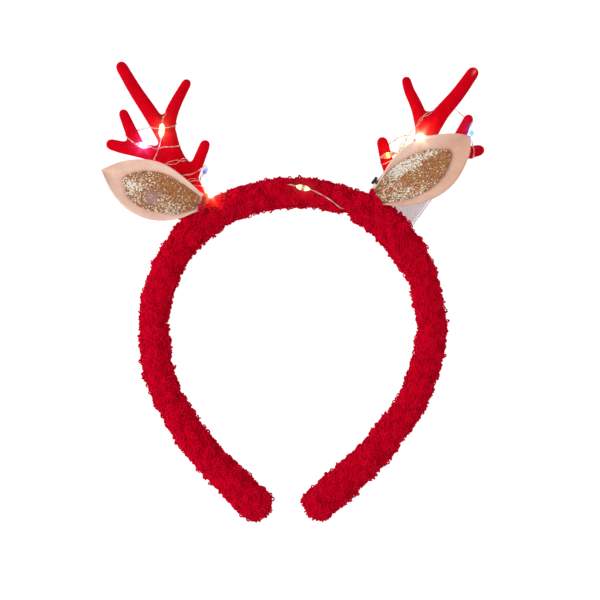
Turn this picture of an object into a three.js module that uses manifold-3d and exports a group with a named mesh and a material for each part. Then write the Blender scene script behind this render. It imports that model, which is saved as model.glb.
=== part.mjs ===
// Light-up reindeer headband: a padded band in looped cloth, two flocked antlers, two felt ears with
// glitter linings, and a string of coloured lights with its battery box.
// Millimetres, +Z up. The band lies on its back: X runs across it, Y from its open ends to its crown,
// Z is its depth. The origin is on the floor, under the middle of the whole outline.

import * as THREE from 'three';
import { mergeVertices } from 'three/addons/utils/BufferGeometryUtils.js';
import Module from 'manifold-3d';

const wasm = await Module();
wasm.setup();

// Space kept between neighbouring pieces, and how near two corners are to count as one
const GAP = 0.3;
const SAME_CORNER = 1e-4;

// Band: its middle line is a chain of arcs from the crown to each open end, sweeps in degrees;
// it thickens towards its ends, and thickness is at the end of an arc
const BAND_CROWN_Y = 47.4;
const BAND_CROWN_THICKNESS = 14.8;
const BAND_DEPTH = 21;
const BAND_SQUARENESS = 2.4;
const BAND_SIDES = 16;
const BAND_STEP = 5.5;
const BAND_ARCS = [
  { stretch: 'crown', thickness: 14.8,
    left: { radius: 66, sweep: 41 }, right: { radius: 65.4, sweep: 50 } },
  { stretch: 'side', thickness: 14.6,
    left: { radius: 64.2, sweep: 78 }, right: { radius: 63.4, sweep: 73.6 } },
  { stretch: 'leg', thickness: 16.8,
    left: { radius: 190, sweep: 19.7 }, right: { radius: 218, sweep: 16.6 } },
];
const BAND_END_LENGTH = 6.8;
const ROUND_END_ANGLES = [0, 35, 60, 78];

// Antlers: each tine is a tapered rod from root to tip, measured out and up from the antler's base
const ANTLER_MID_Z = 14.3;
const TINE_SIDES = 10;
const TINE_STEP = 5;
const TINE_DEPTH_BASE = 1.7;
const TINE_DEPTH_SHARE = 0.55;
const ANTLERS = [
  { name: 'left', side: -1, base: [-40.8, 46.8], lean: 0 },
  { name: 'right', side: 1, base: [42.2, 46.4], lean: 3 },
];
const TINES = [
  { tine: 'beam', on: 'left', rootWidth: 9, tipWidth: 9.4,
    route: [[2.3, -5.1], [4.2, -0.9], [7.4, 6.1], [11.9, 13.3], [14.4, 17], [17, 24.3], [18.8, 33]] },
  { tine: 'beam', on: 'right', rootWidth: 7, tipWidth: 9.4,
    route: [[0.2, -4.8], [3.4, -0.6], [7.4, 6.1], [11.9, 13.3], [14.4, 17], [17, 24.3], [18.8, 33]] },
  { tine: 'long', on: 'left', rootWidth: 7.8, tipWidth: 5.2,
    route: [[17.6, 25], [21.7, 32], [26.8, 39.9], [32.5, 48.4], [40.1, 61.4]] },
  { tine: 'long', on: 'right', rootWidth: 8.4, tipWidth: 5.4,
    route: [[17.6, 25], [21, 32], [25.3, 39.6], [31.8, 48], [40.2, 61.2]] },
  { tine: 'short', on: 'left', rootWidth: 7.4, tipWidth: 4.1,
    route: [[17.8, 27], [16.4, 35], [14.2, 41], [7.6, 53.3]] },
  { tine: 'short', on: 'right', rootWidth: 7.4, tipWidth: 4.1,
    route: [[17.8, 27], [16.2, 34], [13.4, 42.2], [9.8, 48.6], [7.4, 55.5]] },
  { tine: 'web', on: 'right', rootWidth: 8, tipWidth: 4.6,
    route: [[18.6, 30], [19.2, 35], [19.9, 40]] },
  { tine: 'branch', on: 'both', rootWidth: 8.4, tipWidth: 4.8,
    route: [[15.4, 16.8], [30.3, 20.3], [39.4, 21.9], [45.9, 23.8]] },
  { tine: 'sub', on: 'both', rootWidth: 6.8, tipWidth: 4.2,
    route: [[30.7, 20.5], [34.5, 29.4], [38.7, 39.3]] },
  { tine: 'inner', on: 'left', rootWidth: 6.2, tipWidth: 4.6,
    route: [[7, 6.1], [3.8, 13.3], [-0.9, 25]] },
  { tine: 'inner', on: 'right', rootWidth: 6.8, tipWidth: 5,
    route: [[7, 4], [1.8, 13.4], [-2.3, 26.8]] },
];

// Ears: a pointed leaf of felt folded along its middle, and a smaller leaf of glitter cloth in front of it;
// each row gives the half widths above and below the fold, and along is a share of the ear's length
const FELT_THICKNESS = 1.6;
const LINING_THICKNESS = 0.9;
const LINING_GAP = 0.8;
const EAR_BASE_Z = 19.1;
const EAR_LEAN = 0.1;
const EAR_CUP_BASE = 6;
const EAR_CUP_TIP = 2;
const EAR_CUP_POWER = 1.5;
const EAR_ROWS = 12;
const EAR_COLUMNS = 8;
const EARS = [
  { name: 'left', base: [-41.7, 42.6], aim: 162, length: 49.3, side: -1,
    felt: [
      { along: 0, upper: 3.6, lower: 4.1 },
      { along: 0.05, upper: 4.4, lower: 5.8 },
      { along: 0.13, upper: 6.2, lower: 9.3 },
      { along: 0.26, upper: 8.9, lower: 12.9 },
      { along: 0.4, upper: 11, lower: 14.9 },
      { along: 0.54, upper: 11.6, lower: 15 },
      { along: 0.7, upper: 9.9, lower: 12.9 },
      { along: 0.85, upper: 6.4, lower: 8.2 },
      { along: 1, upper: 0.4, lower: 0.4 },
    ],
    lining: [
      { along: 0.05, upper: 2, lower: 3.6 },
      { along: 0.1, upper: 2.9, lower: 5.6 },
      { along: 0.22, upper: 4.7, lower: 8.8 },
      { along: 0.36, upper: 6.5, lower: 10.4 },
      { along: 0.5, upper: 6.8, lower: 11 },
      { along: 0.62, upper: 5.2, lower: 9.8 },
      { along: 0.72, upper: 2.6, lower: 6.4 },
      { along: 0.785, upper: 0, lower: 1.2 },
    ] },
  { name: 'right', base: [37, 45.9], aim: 31, length: 53.1, side: 1,
    felt: [
      { along: 0.025, upper: 2, lower: 5.7 },
      { along: 0.07, upper: 2.9, lower: 7.4 },
      { along: 0.14, upper: 4.8, lower: 10.2 },
      { along: 0.26, upper: 8.4, lower: 13.3 },
      { along: 0.4, upper: 11, lower: 15.5 },
      { along: 0.54, upper: 11.6, lower: 16 },
      { along: 0.7, upper: 9.9, lower: 14.1 },
      { along: 0.85, upper: 6.4, lower: 9.5 },
      { along: 0.93, upper: 3.7, lower: 6 },
      { along: 1, upper: 0.4, lower: 0.4 },
    ],
    lining: [
      { along: 0.045, upper: 1.7, lower: 4.4 },
      { along: 0.1, upper: 2.9, lower: 6.2 },
      { along: 0.22, upper: 5.3, lower: 9.1 },
      { along: 0.36, upper: 6.4, lower: 10.6 },
      { along: 0.5, upper: 6.2, lower: 10.7 },
      { along: 0.62, upper: 4.7, lower: 8.8 },
      { along: 0.72, upper: 1.7, lower: 5.5 },
      { along: 0.777, upper: 0, lower: 2.6 },
    ] },
];

// Battery box: width along the band, length out from it, depth up from the floor
const BOX_WIDTH = 26;
const BOX_LENGTH = 20;
const BOX_FLOOR_Z = 0.8;
const BOX_DEPTH = 9.8;
const BOX_WALL = 1.2;
const BOX_CORNER = 1.5;
const BOX_BEVEL = 0.5;
const BOX_INNER_MIDDLE = [45.45, 39.3];
const BOX_TURN = -36;
const SLOT_LENGTH = 4.4;
const SLOT_HEIGHT = 1.8;
const SLOT_OUT = 8.1;
const SLOT_CUT = 5;
const SWITCH_TRAVEL = 2;
const KNOB = { length: 3.8, height: 3, proud: 1.4 };
const NECK_LENGTH = SLOT_LENGTH - SWITCH_TRAVEL - 2 * GAP;
const FOOT = { length: 3.6, height: 3, thickness: 0.8 };
const SWITCH_BODY = { length: 8.4, height: 5, thickness: 3.6 };

// Light string: the wire, the drops on it, and the wire's two holes
const WIRE_DIAMETER = 0.7;
const WIRE_SIDES = 6;
const WIRE_STEP = 2.5;
const WIRE_HOLE = 1.5;
const HOLE_SIDES = 8;
const BOX_HOLE_OUT = 16.5;
const BOX_HOLE_Z = 6;
const BOX_HOLE_REACH = { inside: 1, outside: 2.4 };
const TUNNEL_SWEEP = 31;
const TUNNEL_Z = 13;
const TUNNEL_OUTER = 9.6;
const TUNNEL_INNER = -8.8;
const LIGHT_LENGTH = 5.2;
const LIGHT_DIAMETER = 2.6;
const LIGHT_BORE = 1.4;
const LIGHT_SHOULDER = 0.8;
const LIGHT_LEAD = 1;
const LIGHT_SIDES = 10;
const LIGHTS = [
  { light: 'led_01', at: [-60.8, 76.2, 20.5], aim: [-0.08, -1, 0], colour: 0xffd890 },
  { light: 'led_02', at: [-69.4, 69.4, 19.1], aim: [-1, 0.18, 0], colour: 0xff70ff },
  { light: 'led_03', at: [-40.8, 57.4, 15.5], aim: [0.25, 0.55, 0.8], colour: 0x6090ff },
  { light: 'led_04', at: [-38.4, 46.5, 18.2], aim: [-0.1, 0.15, 1], colour: 0xffe0c0 },
  { light: 'led_05', at: [4.9, 49.5, 22.6], aim: [-0.97, 0.23, 0], colour: 0xf0f080 },
  { light: 'led_06', at: [59.6, 72.8, 20.3], aim: [-0.97, 0.2, 0], colour: 0xfff0d8 },
  { light: 'led_07', at: [44.4, 64.7, 18.8], aim: [0.96, 0.27, 0], colour: 0xffc060 },
  { light: 'led_08', at: [51.2, 69.3, 17.4], aim: [0.52, 0.85, 0.05], colour: 0x80ff90 },
  { light: 'led_09', at: [83.3, 75, 17.9], aim: [0.06, -1, 0.02], colour: 0x6090ff },
];

// The wire's way: straight through a hole or drop, then by points, or along the band by places (see onBand)
const WIRE_ROUTE = [
  { through: 'box_hole', then: 'round the inner tine of the right antler',
    points: [[40.3, 61.4, 10.7], [40, 60.5, 13.8], [41.2, 60.3, 16.9], [43.8, 61.2, 17.8],
      [46.8, 62.8, 17.1], [48.2, 63.6, 14.4], [46.6, 63.5, 11.2], [43.4, 63.3, 10.9],
      [40.2, 63.2, 12.4], [40, 63.5, 16]] },
  { through: 'led_07', then: 'straight on', points: [] },
  { through: 'led_08', then: 'across the fork and behind the long tine and the sub-tine',
    points: [[54.4, 74.8, 17.4], [57, 78, 18.7], [60.2, 82, 18.6], [63.2, 85.2, 18.2], [65.6, 87, 15.2],
      [67.6, 87.6, 11.6], [70.5, 87.8, 10.3], [76.3, 86, 10.9], [80, 82.8, 10.7], [85.1, 80.6, 13.2]] },
  { through: 'led_09', then: 'round the branch and back to the beam',
    points: [[84.4, 67.8, 17.9], [84.4, 64, 17], [83.6, 63, 13.6], [80, 64.2, 10.7], [74, 64.2, 10.4],
      [70, 60.5, 11.3], [66.5, 58.2, 14.6], [64.3, 61.5, 18.4], [64, 67, 18.7]] },
  { through: 'led_06', then: 'round the beam and down to the band',
    points: [[53.4, 74, 19.6], [49, 72.8, 18], [46.6, 70.6, 13.2], [45.2, 67.9, 11], [48, 66.2, 11.2],
      [50.2, 63.4, 13], [50, 61, 16.4], [47.8, 57, 18.4], [44.5, 52.5, 18.5], [41, 49.3, 16.5]] },
  { through: 'tunnel', then: 'along the inside of the crown and up over its front',
    places: [{ sweep: 28, around: 171, lift: 0.8 }, { sweep: 26, around: 160, lift: 0.7 },
      { sweep: 24.4, around: 142, lift: 0.9 }, { sweep: 22, around: 119, lift: 0.9 },
      { sweep: 17.2, around: 98, lift: 0.7 }, { sweep: 13.6, around: 91, lift: 0.7 },
      { sweep: 9.8, around: 85, lift: 0.7 }] },
  { through: 'led_05', then: 'over the crown and along its back to the left antler',
    places: [{ sweep: -1.5, around: 62, lift: 0.9 }, { sweep: -4.5, around: 25, lift: 0.7 },
      { sweep: -8, around: -14, lift: 0.7 }, { sweep: -14, around: -28, lift: 0.7 },
      { sweep: -21, around: -28, lift: 0.7 }, { sweep: -27, around: -18, lift: 0.8 },
      { sweep: -30.5, around: -8, lift: 1.4 }] },
  { through: 'led_04', then: 'across the foot of the left antler',
    points: [[-40.3, 48.9, 22.6], [-44, 51, 19.4], [-48.2, 50.4, 18.4], [-49.9, 51.9, 18.4],
      [-47.5, 53.2, 18.4], [-44.4, 53.6, 18], [-42.6, 53, 15.2]] },
  { through: 'led_03', then: 'twice round the beam and out to the branch',
    points: [[-40.6, 60.2, 20.2], [-42.6, 58.2, 19.6], [-46.4, 56.2, 18.6], [-51.3, 55.3, 18.5],
      [-55.2, 53.6, 15.5], [-55, 54.4, 12], [-51.5, 57.8, 10.2], [-48.8, 61.8, 11.2], [-48.1, 63.4, 14.3],
      [-49.6, 63.2, 18], [-54, 61.7, 18.5], [-58.6, 60.4, 18], [-60.6, 58.8, 14.6], [-58.8, 61.2, 10.4],
      [-55, 66.5, 10.1], [-52, 69.2, 12.2], [-51.9, 69.5, 15.6], [-54.2, 68.9, 18.2], [-58.5, 68.6, 18.5],
      [-63.2, 68.6, 18.6]] },
  { through: 'led_02', then: 'behind the sub-tine and round the beam',
    points: [[-75.2, 71.3, 17.8], [-77.4, 72.8, 16.6], [-78.2, 74, 14], [-77, 75.4, 11.2],
      [-74.5, 76.8, 10.7], [-71.6, 77.2, 12.6], [-68, 77.1, 16.5], [-64.5, 77.1, 18.3],
      [-60.8, 77.3, 18.4], [-56.5, 78, 18.2], [-53.6, 79.1, 15], [-54.6, 81, 10.9],
      [-58.5, 83.4, 10.6], [-60.9, 85.4, 13.2], [-61.1, 84.9, 16.8], [-60.7, 82.2, 19.2]] },
  { through: 'led_01', then: 'down to its end on the beam',
    points: [[-61.7, 69.4, 20.1], [-63.4, 65, 19.6], [-64.6, 62.2, 19.4]] },
];

const RED_CLOTH = { color: 0xb80420, roughness: 0.95, metalness: 0 };
const RED_FLOCK = { color: 0xd3041c, roughness: 0.9, metalness: 0 };
const TAN_FELT = { color: 0xe4bd9f, roughness: 0.95, metalness: 0 };
const GOLD_GLITTER = { color: 0xa67c4a, roughness: 0.4, metalness: 0.7 };
const MILKY_PLASTIC = { color: 0xd8d2d2, roughness: 0.3, metalness: 0, transparent: true, opacity: 0.6 };
const BLACK_PLASTIC = { color: 0x1a181b, roughness: 0.5, metalness: 0 };
const COPPER_WIRE = { color: 0xc99a6b, roughness: 0.35, metalness: 1 };

const rad = THREE.MathUtils.degToRad;
const lerp = THREE.MathUtils.lerp;
const ALONG_Y = new THREE.Vector3(0, 1, 0);
const headband = new THREE.Group();

// Shared helpers

function addPiece(parent, name, geometry, look) {
  const mesh = new THREE.Mesh(geometry, new THREE.MeshStandardMaterial(look));
  mesh.name = name;
  parent.add(mesh);
  return mesh;
}

function meshFrom(positions, triangles) {
  const geometry = new THREE.BufferGeometry();
  geometry.setAttribute('position', new THREE.Float32BufferAttribute(positions, 3));
  geometry.setIndex(triangles);
  return geometry;
}

// Joins shared corners, drops triangles with no area and turns all faces outwards
function closed(source) {
  const bare = source.clone();
  bare.deleteAttribute('normal');
  bare.deleteAttribute('uv');
  const merged = mergeVertices(bare, SAME_CORNER);
  const corner = (index) => new THREE.Vector3().fromBufferAttribute(merged.attributes.position, index);
  const triangles = [];
  let volume = 0;
  for (let i = 0; i < merged.index.count; i += 3) {
    const [a, b, c] = [0, 1, 2].map((step) => merged.index.getX(i + step));
    if (a !== b && b !== c && c !== a) {
      triangles.push([a, b, c]);
      volume += corner(a).dot(corner(b).cross(corner(c)));
    }
  }
  const facing = volume > 0 ? triangles : triangles.map(([a, b, c]) => [a, c, b]);
  return meshFrom(merged.attributes.position.array, facing.flat());
}

function solidOf(geometry) {
  const { attributes, index } = closed(geometry);
  return new wasm.Manifold(new wasm.Mesh({
    numProp: 3,
    vertProperties: new Float32Array(attributes.position.array),
    triVerts: new Uint32Array(index.array),
  }));
}

function geometryOf(solid) {
  const { vertProperties, triVerts } = solid.getMesh();
  return closed(meshFrom(vertProperties, Array.from(triVerts)));
}

// Skins a row of rings that have equal numbers of points; cap holds the triangles that close one ring
function skin(rings, cap) {
  const sides = rings[0].length;
  const last = (rings.length - 1) * sides;
  const triangles = cap.flatMap(([a, b, c]) => [a, c, b, last + a, last + b, last + c]);
  for (let ring = 0; ring + 1 < rings.length; ring += 1) {
    for (let side = 0; side < sides; side += 1) {
      const next = (side + 1) % sides;
      const [a, b] = [ring * sides + side, ring * sides + next];
      triangles.push(a, b, b + sides, a, b + sides, a + sides);
    }
  }
  return closed(meshFrom(rings.flat().flatMap((point) => point.toArray()), triangles));
}

// Skins convex rings and caps both ends with fans
function loft(rings) {
  return skin(rings, Array.from({ length: rings[0].length - 2 }, (_, side) => [0, side + 1, side + 2]));
}

function block(width, length, height, centre) {
  return new THREE.BoxGeometry(width, length, height).translate(...centre);
}

// A plain round rod from one point to another
function roundRod(from, to, diameter, sides) {
  const axis = new THREE.Vector3().subVectors(to, from);
  const turn = new THREE.Quaternion().setFromUnitVectors(ALONG_Y, axis.clone().normalize());
  const rod = new THREE.CylinderGeometry(diameter / 2, diameter / 2, axis.length(), sides);
  const middle = new THREE.Vector3().addVectors(from, to).multiplyScalar(0.5);
  return rod.applyQuaternion(turn).translate(...middle);
}

// Band

const bulge = (value) => Math.sign(value) * Math.abs(value) ** (2 / BAND_SQUARENESS);
const BAND_HALF_DEPTH = BAND_DEPTH / 2 / bulge(Math.cos(Math.PI / BAND_SIDES));

// Stations from the crown to one open end; sweep is how far the outward side has turned from +Y towards +X
function bandSide(side) {
  const sign = side === 'right' ? 1 : -1;
  const stations = [{ x: 0, y: BAND_CROWN_Y, sweep: 0, thickness: BAND_CROWN_THICKNESS }];
  for (const arc of BAND_ARCS) {
    const start = stations.at(-1);
    const { radius, sweep } = arc[side];
    const steps = Math.ceil((radius * rad(sweep)) / BAND_STEP);
    for (let step = 1; step <= steps; step += 1) {
      const turned = start.sweep + (sweep * step) / steps;
      stations.push({
        x: start.x + radius * (Math.sin(rad(turned)) - Math.sin(rad(start.sweep))),
        y: start.y + radius * (Math.cos(rad(turned)) - Math.cos(rad(start.sweep))),
        sweep: turned,
        thickness: lerp(start.thickness, arc.thickness, step / steps),
      });
    }
  }
  return stations.map((station) => (
    { ...station, x: sign * station.x, sweep: sign * station.sweep, sign, size: 1 }));
}

function roundedEnd(station) {
  return ROUND_END_ANGLES.map((angle) => {
    const forward = station.sign * BAND_END_LENGTH * Math.sin(rad(angle));
    return {
      ...station,
      x: station.x + forward * Math.cos(rad(station.sweep)),
      y: station.y - forward * Math.sin(rad(station.sweep)),
      size: Math.cos(rad(angle)),
    };
  });
}

function bandRing({ x, y, sweep, thickness, size }, grow) {
  const points = [];
  for (let side = 0; side < BAND_SIDES; side += 1) {
    const angle = ((side + 0.5) / BAND_SIDES) * 2 * Math.PI;
    const out = (thickness / 2 + grow) * size * bulge(Math.cos(angle));
    const up = (BAND_HALF_DEPTH + grow) * size * bulge(Math.sin(angle));
    points.push(new THREE.Vector3(
      x + out * Math.sin(rad(sweep)), y + out * Math.cos(rad(sweep)), BAND_DEPTH / 2 + up));
  }
  return points;
}

function bandGeometry(grow) {
  const [left, right] = ['left', 'right'].map((side) => {
    const stations = bandSide(side);
    return [...stations.slice(0, -1), ...roundedEnd(stations.at(-1))];
  });
  const stations = [...left.slice(1).reverse(), ...right];
  return loft(stations.map((station) => bandRing(station, grow)));
}

// A point near the band's crown arcs: around turns from its outer side to its front, lift is above its skin
function onBand(sweep, around, lift) {
  const { radius } = BAND_ARCS[0][sweep < 0 ? 'left' : 'right'];
  const out = (BAND_CROWN_THICKNESS / 2 + lift) * bulge(Math.cos(rad(around)));
  const up = (BAND_HALF_DEPTH + lift) * bulge(Math.sin(rad(around)));
  return new THREE.Vector3(
    (radius + out) * Math.sin(rad(sweep)),
    BAND_CROWN_Y - radius + (radius + out) * Math.cos(rad(sweep)),
    BAND_DEPTH / 2 + up);
}

function tunnelPoint(out) {
  const { radius } = BAND_ARCS[0].right;
  return new THREE.Vector3(
    (radius + out) * Math.sin(rad(TUNNEL_SWEEP)),
    BAND_CROWN_Y - radius + (radius + out) * Math.cos(rad(TUNNEL_SWEEP)),
    TUNNEL_Z);
}

const tunnel = [tunnelPoint(TUNNEL_OUTER), tunnelPoint(TUNNEL_INNER)];
const bandSpace = solidOf(bandGeometry(GAP));
const band = solidOf(bandGeometry(0)).subtract(solidOf(roundRod(...tunnel, WIRE_HOLE, HOLE_SIDES)));
addPiece(headband, 'band', geometryOf(band), RED_CLOTH);

// Antlers

function tineGeometry(antler, { route, rootWidth, tipWidth }) {
  const lean = -rad(antler.lean) * antler.side;
  const foot = new THREE.Vector3(...antler.base, ANTLER_MID_Z);
  const points = route.map(([out, up]) => new THREE.Vector3(out * antler.side, up, 0)
    .applyAxisAngle(new THREE.Vector3(0, 0, 1), lean).add(foot));
  const curve = new THREE.CatmullRomCurve3(points);
  const length = curve.getLength();
  const straight = 1 - tipWidth / 2 / length;
  const steps = Math.max(3, Math.round(length / TINE_STEP));
  const stations = [];
  for (let step = 0; step < steps; step += 1) {
    stations.push({ along: (straight * step) / steps, size: 1 });
  }
  for (const angle of ROUND_END_ANGLES) {
    stations.push({ along: lerp(straight, 1, Math.sin(rad(angle))), size: Math.cos(rad(angle)) });
  }
  return loft(stations.map(({ along, size }) => {
    const middle = curve.getPointAt(along);
    const heading = curve.getTangentAt(along);
    const width = lerp(rootWidth, tipWidth, along);
    const depth = TINE_DEPTH_BASE + TINE_DEPTH_SHARE * width;
    return Array.from({ length: TINE_SIDES }, (_, side) => {
      const angle = (side / TINE_SIDES) * 2 * Math.PI;
      const across = (width / 2) * size * Math.cos(angle);
      const up = (depth / 2) * size * Math.sin(angle);
      return new THREE.Vector3(middle.x + across * heading.y, middle.y - across * heading.x, middle.z + up);
    });
  }));
}

for (const antler of ANTLERS) {
  const tines = TINES.filter(({ on }) => on === 'both' || on === antler.name);
  const solids = tines.map((tine) => solidOf(tineGeometry(antler, tine)));
  const fused = solids.reduce((sum, solid) => sum.add(solid)).subtract(bandSpace);
  addPiece(headband, `antler_${antler.name}`, geometryOf(fused), RED_FLOCK);
}

// Ears

// Reads the half widths at any place along an outline, and gives where it starts and ends
function readOutline(rows) {
  const reader = new THREE.CubicInterpolant(
    rows.map((row) => row.along), rows.flatMap((row) => [row.upper, row.lower]), 2, [0, 0]);
  const widths = (along) => {
    const [upper, lower] = reader.evaluate(along);
    return { upper, lower };
  };
  return { first: rows[0].along, last: rows.at(-1).along, widths };
}

// A point of an ear: across is positive above the fold, height is measured in front of the felt's back,
// and a side cups forwards by no more than its half width
function earPoint(ear, felt, along, across, height) {
  const { upper, lower } = felt.widths(along);
  const reach = across > 0 ? upper : lower;
  const share = Math.abs(across) / reach;
  const cup = Math.min(lerp(EAR_CUP_BASE, EAR_CUP_TIP, along), reach) * share ** EAR_CUP_POWER;
  const forward = new THREE.Vector2(1, 0).rotateAround(new THREE.Vector2(), rad(ear.aim));
  const above = new THREE.Vector2(-forward.y, forward.x).multiplyScalar(ear.side);
  return new THREE.Vector3(
    ear.base[0] + forward.x * along * ear.length + above.x * across,
    ear.base[1] + forward.y * along * ear.length + above.y * across,
    EAR_BASE_Z + EAR_LEAN * along * ear.length + cup + height);
}

// A leaf of felt or glitter cloth: each row is a flat ring over its back and front faces, and strips cap
// the two ends, because a folded row isn't convex
function leafGeometry(ear, felt, leaf, back, front) {
  const rings = [];
  for (let row = 0; row <= EAR_ROWS; row += 1) {
    const along = lerp(leaf.first, leaf.last, row / EAR_ROWS);
    const { upper, lower } = leaf.widths(along);
    const places = Array.from({ length: EAR_COLUMNS + 1 }, (_, column) => {
      const share = (2 * column) / EAR_COLUMNS - 1;
      return share * (share > 0 ? upper : lower);
    });
    const backFace = places.map((across) => earPoint(ear, felt, along, across, back));
    const frontFace = places.map((across) => earPoint(ear, felt, along, across, front));
    rings.push([...backFace, ...frontFace.reverse()]);
  }
  const end = 2 * EAR_COLUMNS + 1;
  const strips = Array.from({ length: EAR_COLUMNS }, (_, column) => [
    [column, column + 1, end - 1 - column], [column, end - 1 - column, end - column],
  ]);
  return skin(rings, strips.flat());
}

for (const ear of EARS) {
  const felt = readOutline(ear.felt);
  const lining = readOutline(ear.lining);
  const liningBack = FELT_THICKNESS + LINING_GAP;
  const outer = solidOf(leafGeometry(ear, felt, felt, 0, FELT_THICKNESS));
  const inner = solidOf(leafGeometry(ear, felt, lining, liningBack, liningBack + LINING_THICKNESS));
  addPiece(headband, `ear_${ear.name}`, geometryOf(outer.subtract(bandSpace)), TAN_FELT);
  addPiece(headband, `ear_lining_${ear.name}`, geometryOf(inner.subtract(bandSpace)), GOLD_GLITTER);
}

// Battery box: its own frame has X along the band, Y out from it and Z up from the floor

const box = new THREE.Group();
box.position.set(...BOX_INNER_MIDDLE, 0);
box.rotation.z = rad(BOX_TURN);
headband.add(box);

function roundedSlab(inset, round, bevel) {
  const [half, near, far] = [BOX_WIDTH / 2 - inset, inset, BOX_LENGTH - inset];
  const outline = new THREE.Shape();
  outline.moveTo(-half + round, near);
  outline.absarc(half - round, near + round, round, -Math.PI / 2, 0);
  outline.absarc(half - round, far - round, round, 0, Math.PI / 2);
  outline.absarc(-half + round, far - round, round, Math.PI / 2, Math.PI);
  outline.absarc(-half + round, near + round, round, Math.PI, Math.PI * 1.5);
  const slab = new THREE.ExtrudeGeometry(outline, {
    depth: BOX_DEPTH - 2 * inset - 2 * bevel, curveSegments: 3, bevelEnabled: bevel > 0,
    bevelThickness: bevel, bevelSize: bevel, bevelOffset: -bevel, bevelSegments: 1,
  });
  return slab.translate(0, 0, BOX_FLOOR_Z + inset + bevel);
}

const BOX_END = -BOX_WIDTH / 2;
const SWITCH_Z = BOX_FLOOR_Z + BOX_DEPTH / 2;
const WALL_INSIDE = BOX_END + BOX_WALL;
const boxHole = [WALL_INSIDE + BOX_HOLE_REACH.inside, BOX_END - BOX_HOLE_REACH.outside]
  .map((x) => new THREE.Vector3(x, BOX_HOLE_OUT, BOX_HOLE_Z));
const slot = block(SLOT_CUT, SLOT_LENGTH, SLOT_HEIGHT, [BOX_END, SLOT_OUT, SWITCH_Z]);
const shell = solidOf(roundedSlab(0, BOX_CORNER, BOX_BEVEL))
  .subtract(solidOf(roundedSlab(BOX_WALL, BOX_BEVEL, 0)))
  .subtract(solidOf(slot))
  .subtract(solidOf(roundRod(...boxHole, WIRE_HOLE, HOLE_SIDES)));
addPiece(box, 'battery_box', geometryOf(shell), MILKY_PLASTIC);

// Slide switch: the knob's foot runs in a pocket of the switch body, and its neck in the slot of the end wall

const sliderOut = SLOT_OUT - SWITCH_TRAVEL / 2;
const neckStart = BOX_END - GAP - KNOB.proud / 2;
const footMiddle = WALL_INSIDE + GAP + FOOT.thickness / 2;
const neckLength = footMiddle - neckStart;
const slider = solidOf(block(KNOB.proud, KNOB.length, KNOB.height, [neckStart, sliderOut, SWITCH_Z]))
  .add(solidOf(block(neckLength, NECK_LENGTH, SLOT_HEIGHT - 2 * GAP,
    [neckStart + neckLength / 2, sliderOut, SWITCH_Z])))
  .add(solidOf(block(FOOT.thickness, FOOT.length, FOOT.height, [footMiddle, sliderOut, SWITCH_Z])));
addPiece(box, 'switch_slider', geometryOf(slider), BLACK_PLASTIC);

const bodyMiddle = WALL_INSIDE + GAP + SWITCH_BODY.thickness / 2;
const pocketDepth = FOOT.thickness + GAP;
const pocketLength = FOOT.length + SWITCH_TRAVEL + 2 * GAP;
const switchBody = solidOf(block(SWITCH_BODY.thickness, SWITCH_BODY.length, SWITCH_BODY.height,
  [bodyMiddle, SLOT_OUT, SWITCH_Z]))
  .subtract(solidOf(block(2 * pocketDepth, pocketLength, FOOT.height + 2 * GAP,
    [WALL_INSIDE + GAP, SLOT_OUT, SWITCH_Z])));
addPiece(box, 'switch_body', geometryOf(switchBody), BLACK_PLASTIC);

// Light string

const lightEnds = {};
for (const { light, at, aim } of LIGHTS) {
  const middle = new THREE.Vector3(...at);
  const half = new THREE.Vector3(...aim).setLength(LIGHT_LENGTH / 2 + LIGHT_LEAD);
  lightEnds[light] = [middle.clone().sub(half), middle.clone().add(half)];
}

box.updateMatrixWorld(true);
const straightRuns = {
  ...lightEnds, tunnel, box_hole: boxHole.map((point) => box.localToWorld(point.clone())),
};

// The wire's path: straight through drops and holes, and smooth curves between
function wirePath() {
  const knots = [];
  for (const { through, points = [], places = [] } of WIRE_ROUTE) {
    const [from, to] = straightRuns[through];
    const heading = to.clone().sub(from).normalize();
    knots.push({ point: from, heading, straight: true }, { point: to, heading });
    knots.push(...points.map((at) => ({ point: new THREE.Vector3(...at) })));
    knots.push(...places.map(({ sweep, around, lift }) => ({ point: onBand(sweep, around, lift) })));
  }
  knots.forEach((knot, index) => {
    const before = knots[Math.max(index - 1, 0)].point;
    const after = knots[Math.min(index + 1, knots.length - 1)].point;
    knot.heading ??= after.clone().sub(before).normalize();
  });
  const path = new THREE.CurvePath();
  for (let index = 0; index + 1 < knots.length; index += 1) {
    const [from, to] = [knots[index], knots[index + 1]];
    const reach = from.point.distanceTo(to.point) / 3;
    path.add(from.straight ? new THREE.LineCurve3(from.point, to.point) : new THREE.CubicBezierCurve3(
      from.point,
      from.point.clone().addScaledVector(from.heading, reach),
      to.point.clone().addScaledVector(to.heading, -reach),
      to.point));
  }
  return path;
}

const wireSection = new THREE.Shape(Array.from({ length: WIRE_SIDES }, (_, side) => {
  const angle = (side / WIRE_SIDES) * 2 * Math.PI;
  return new THREE.Vector2(Math.cos(angle), Math.sin(angle)).multiplyScalar(WIRE_DIAMETER / 2);
}));
const path = wirePath();
const wire = new THREE.ExtrudeGeometry(wireSection, {
  steps: Math.round(path.getLength() / WIRE_STEP), extrudePath: path, bevelEnabled: false,
});
addPiece(headband, 'light_wire', closed(wire), COPPER_WIRE);

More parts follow.
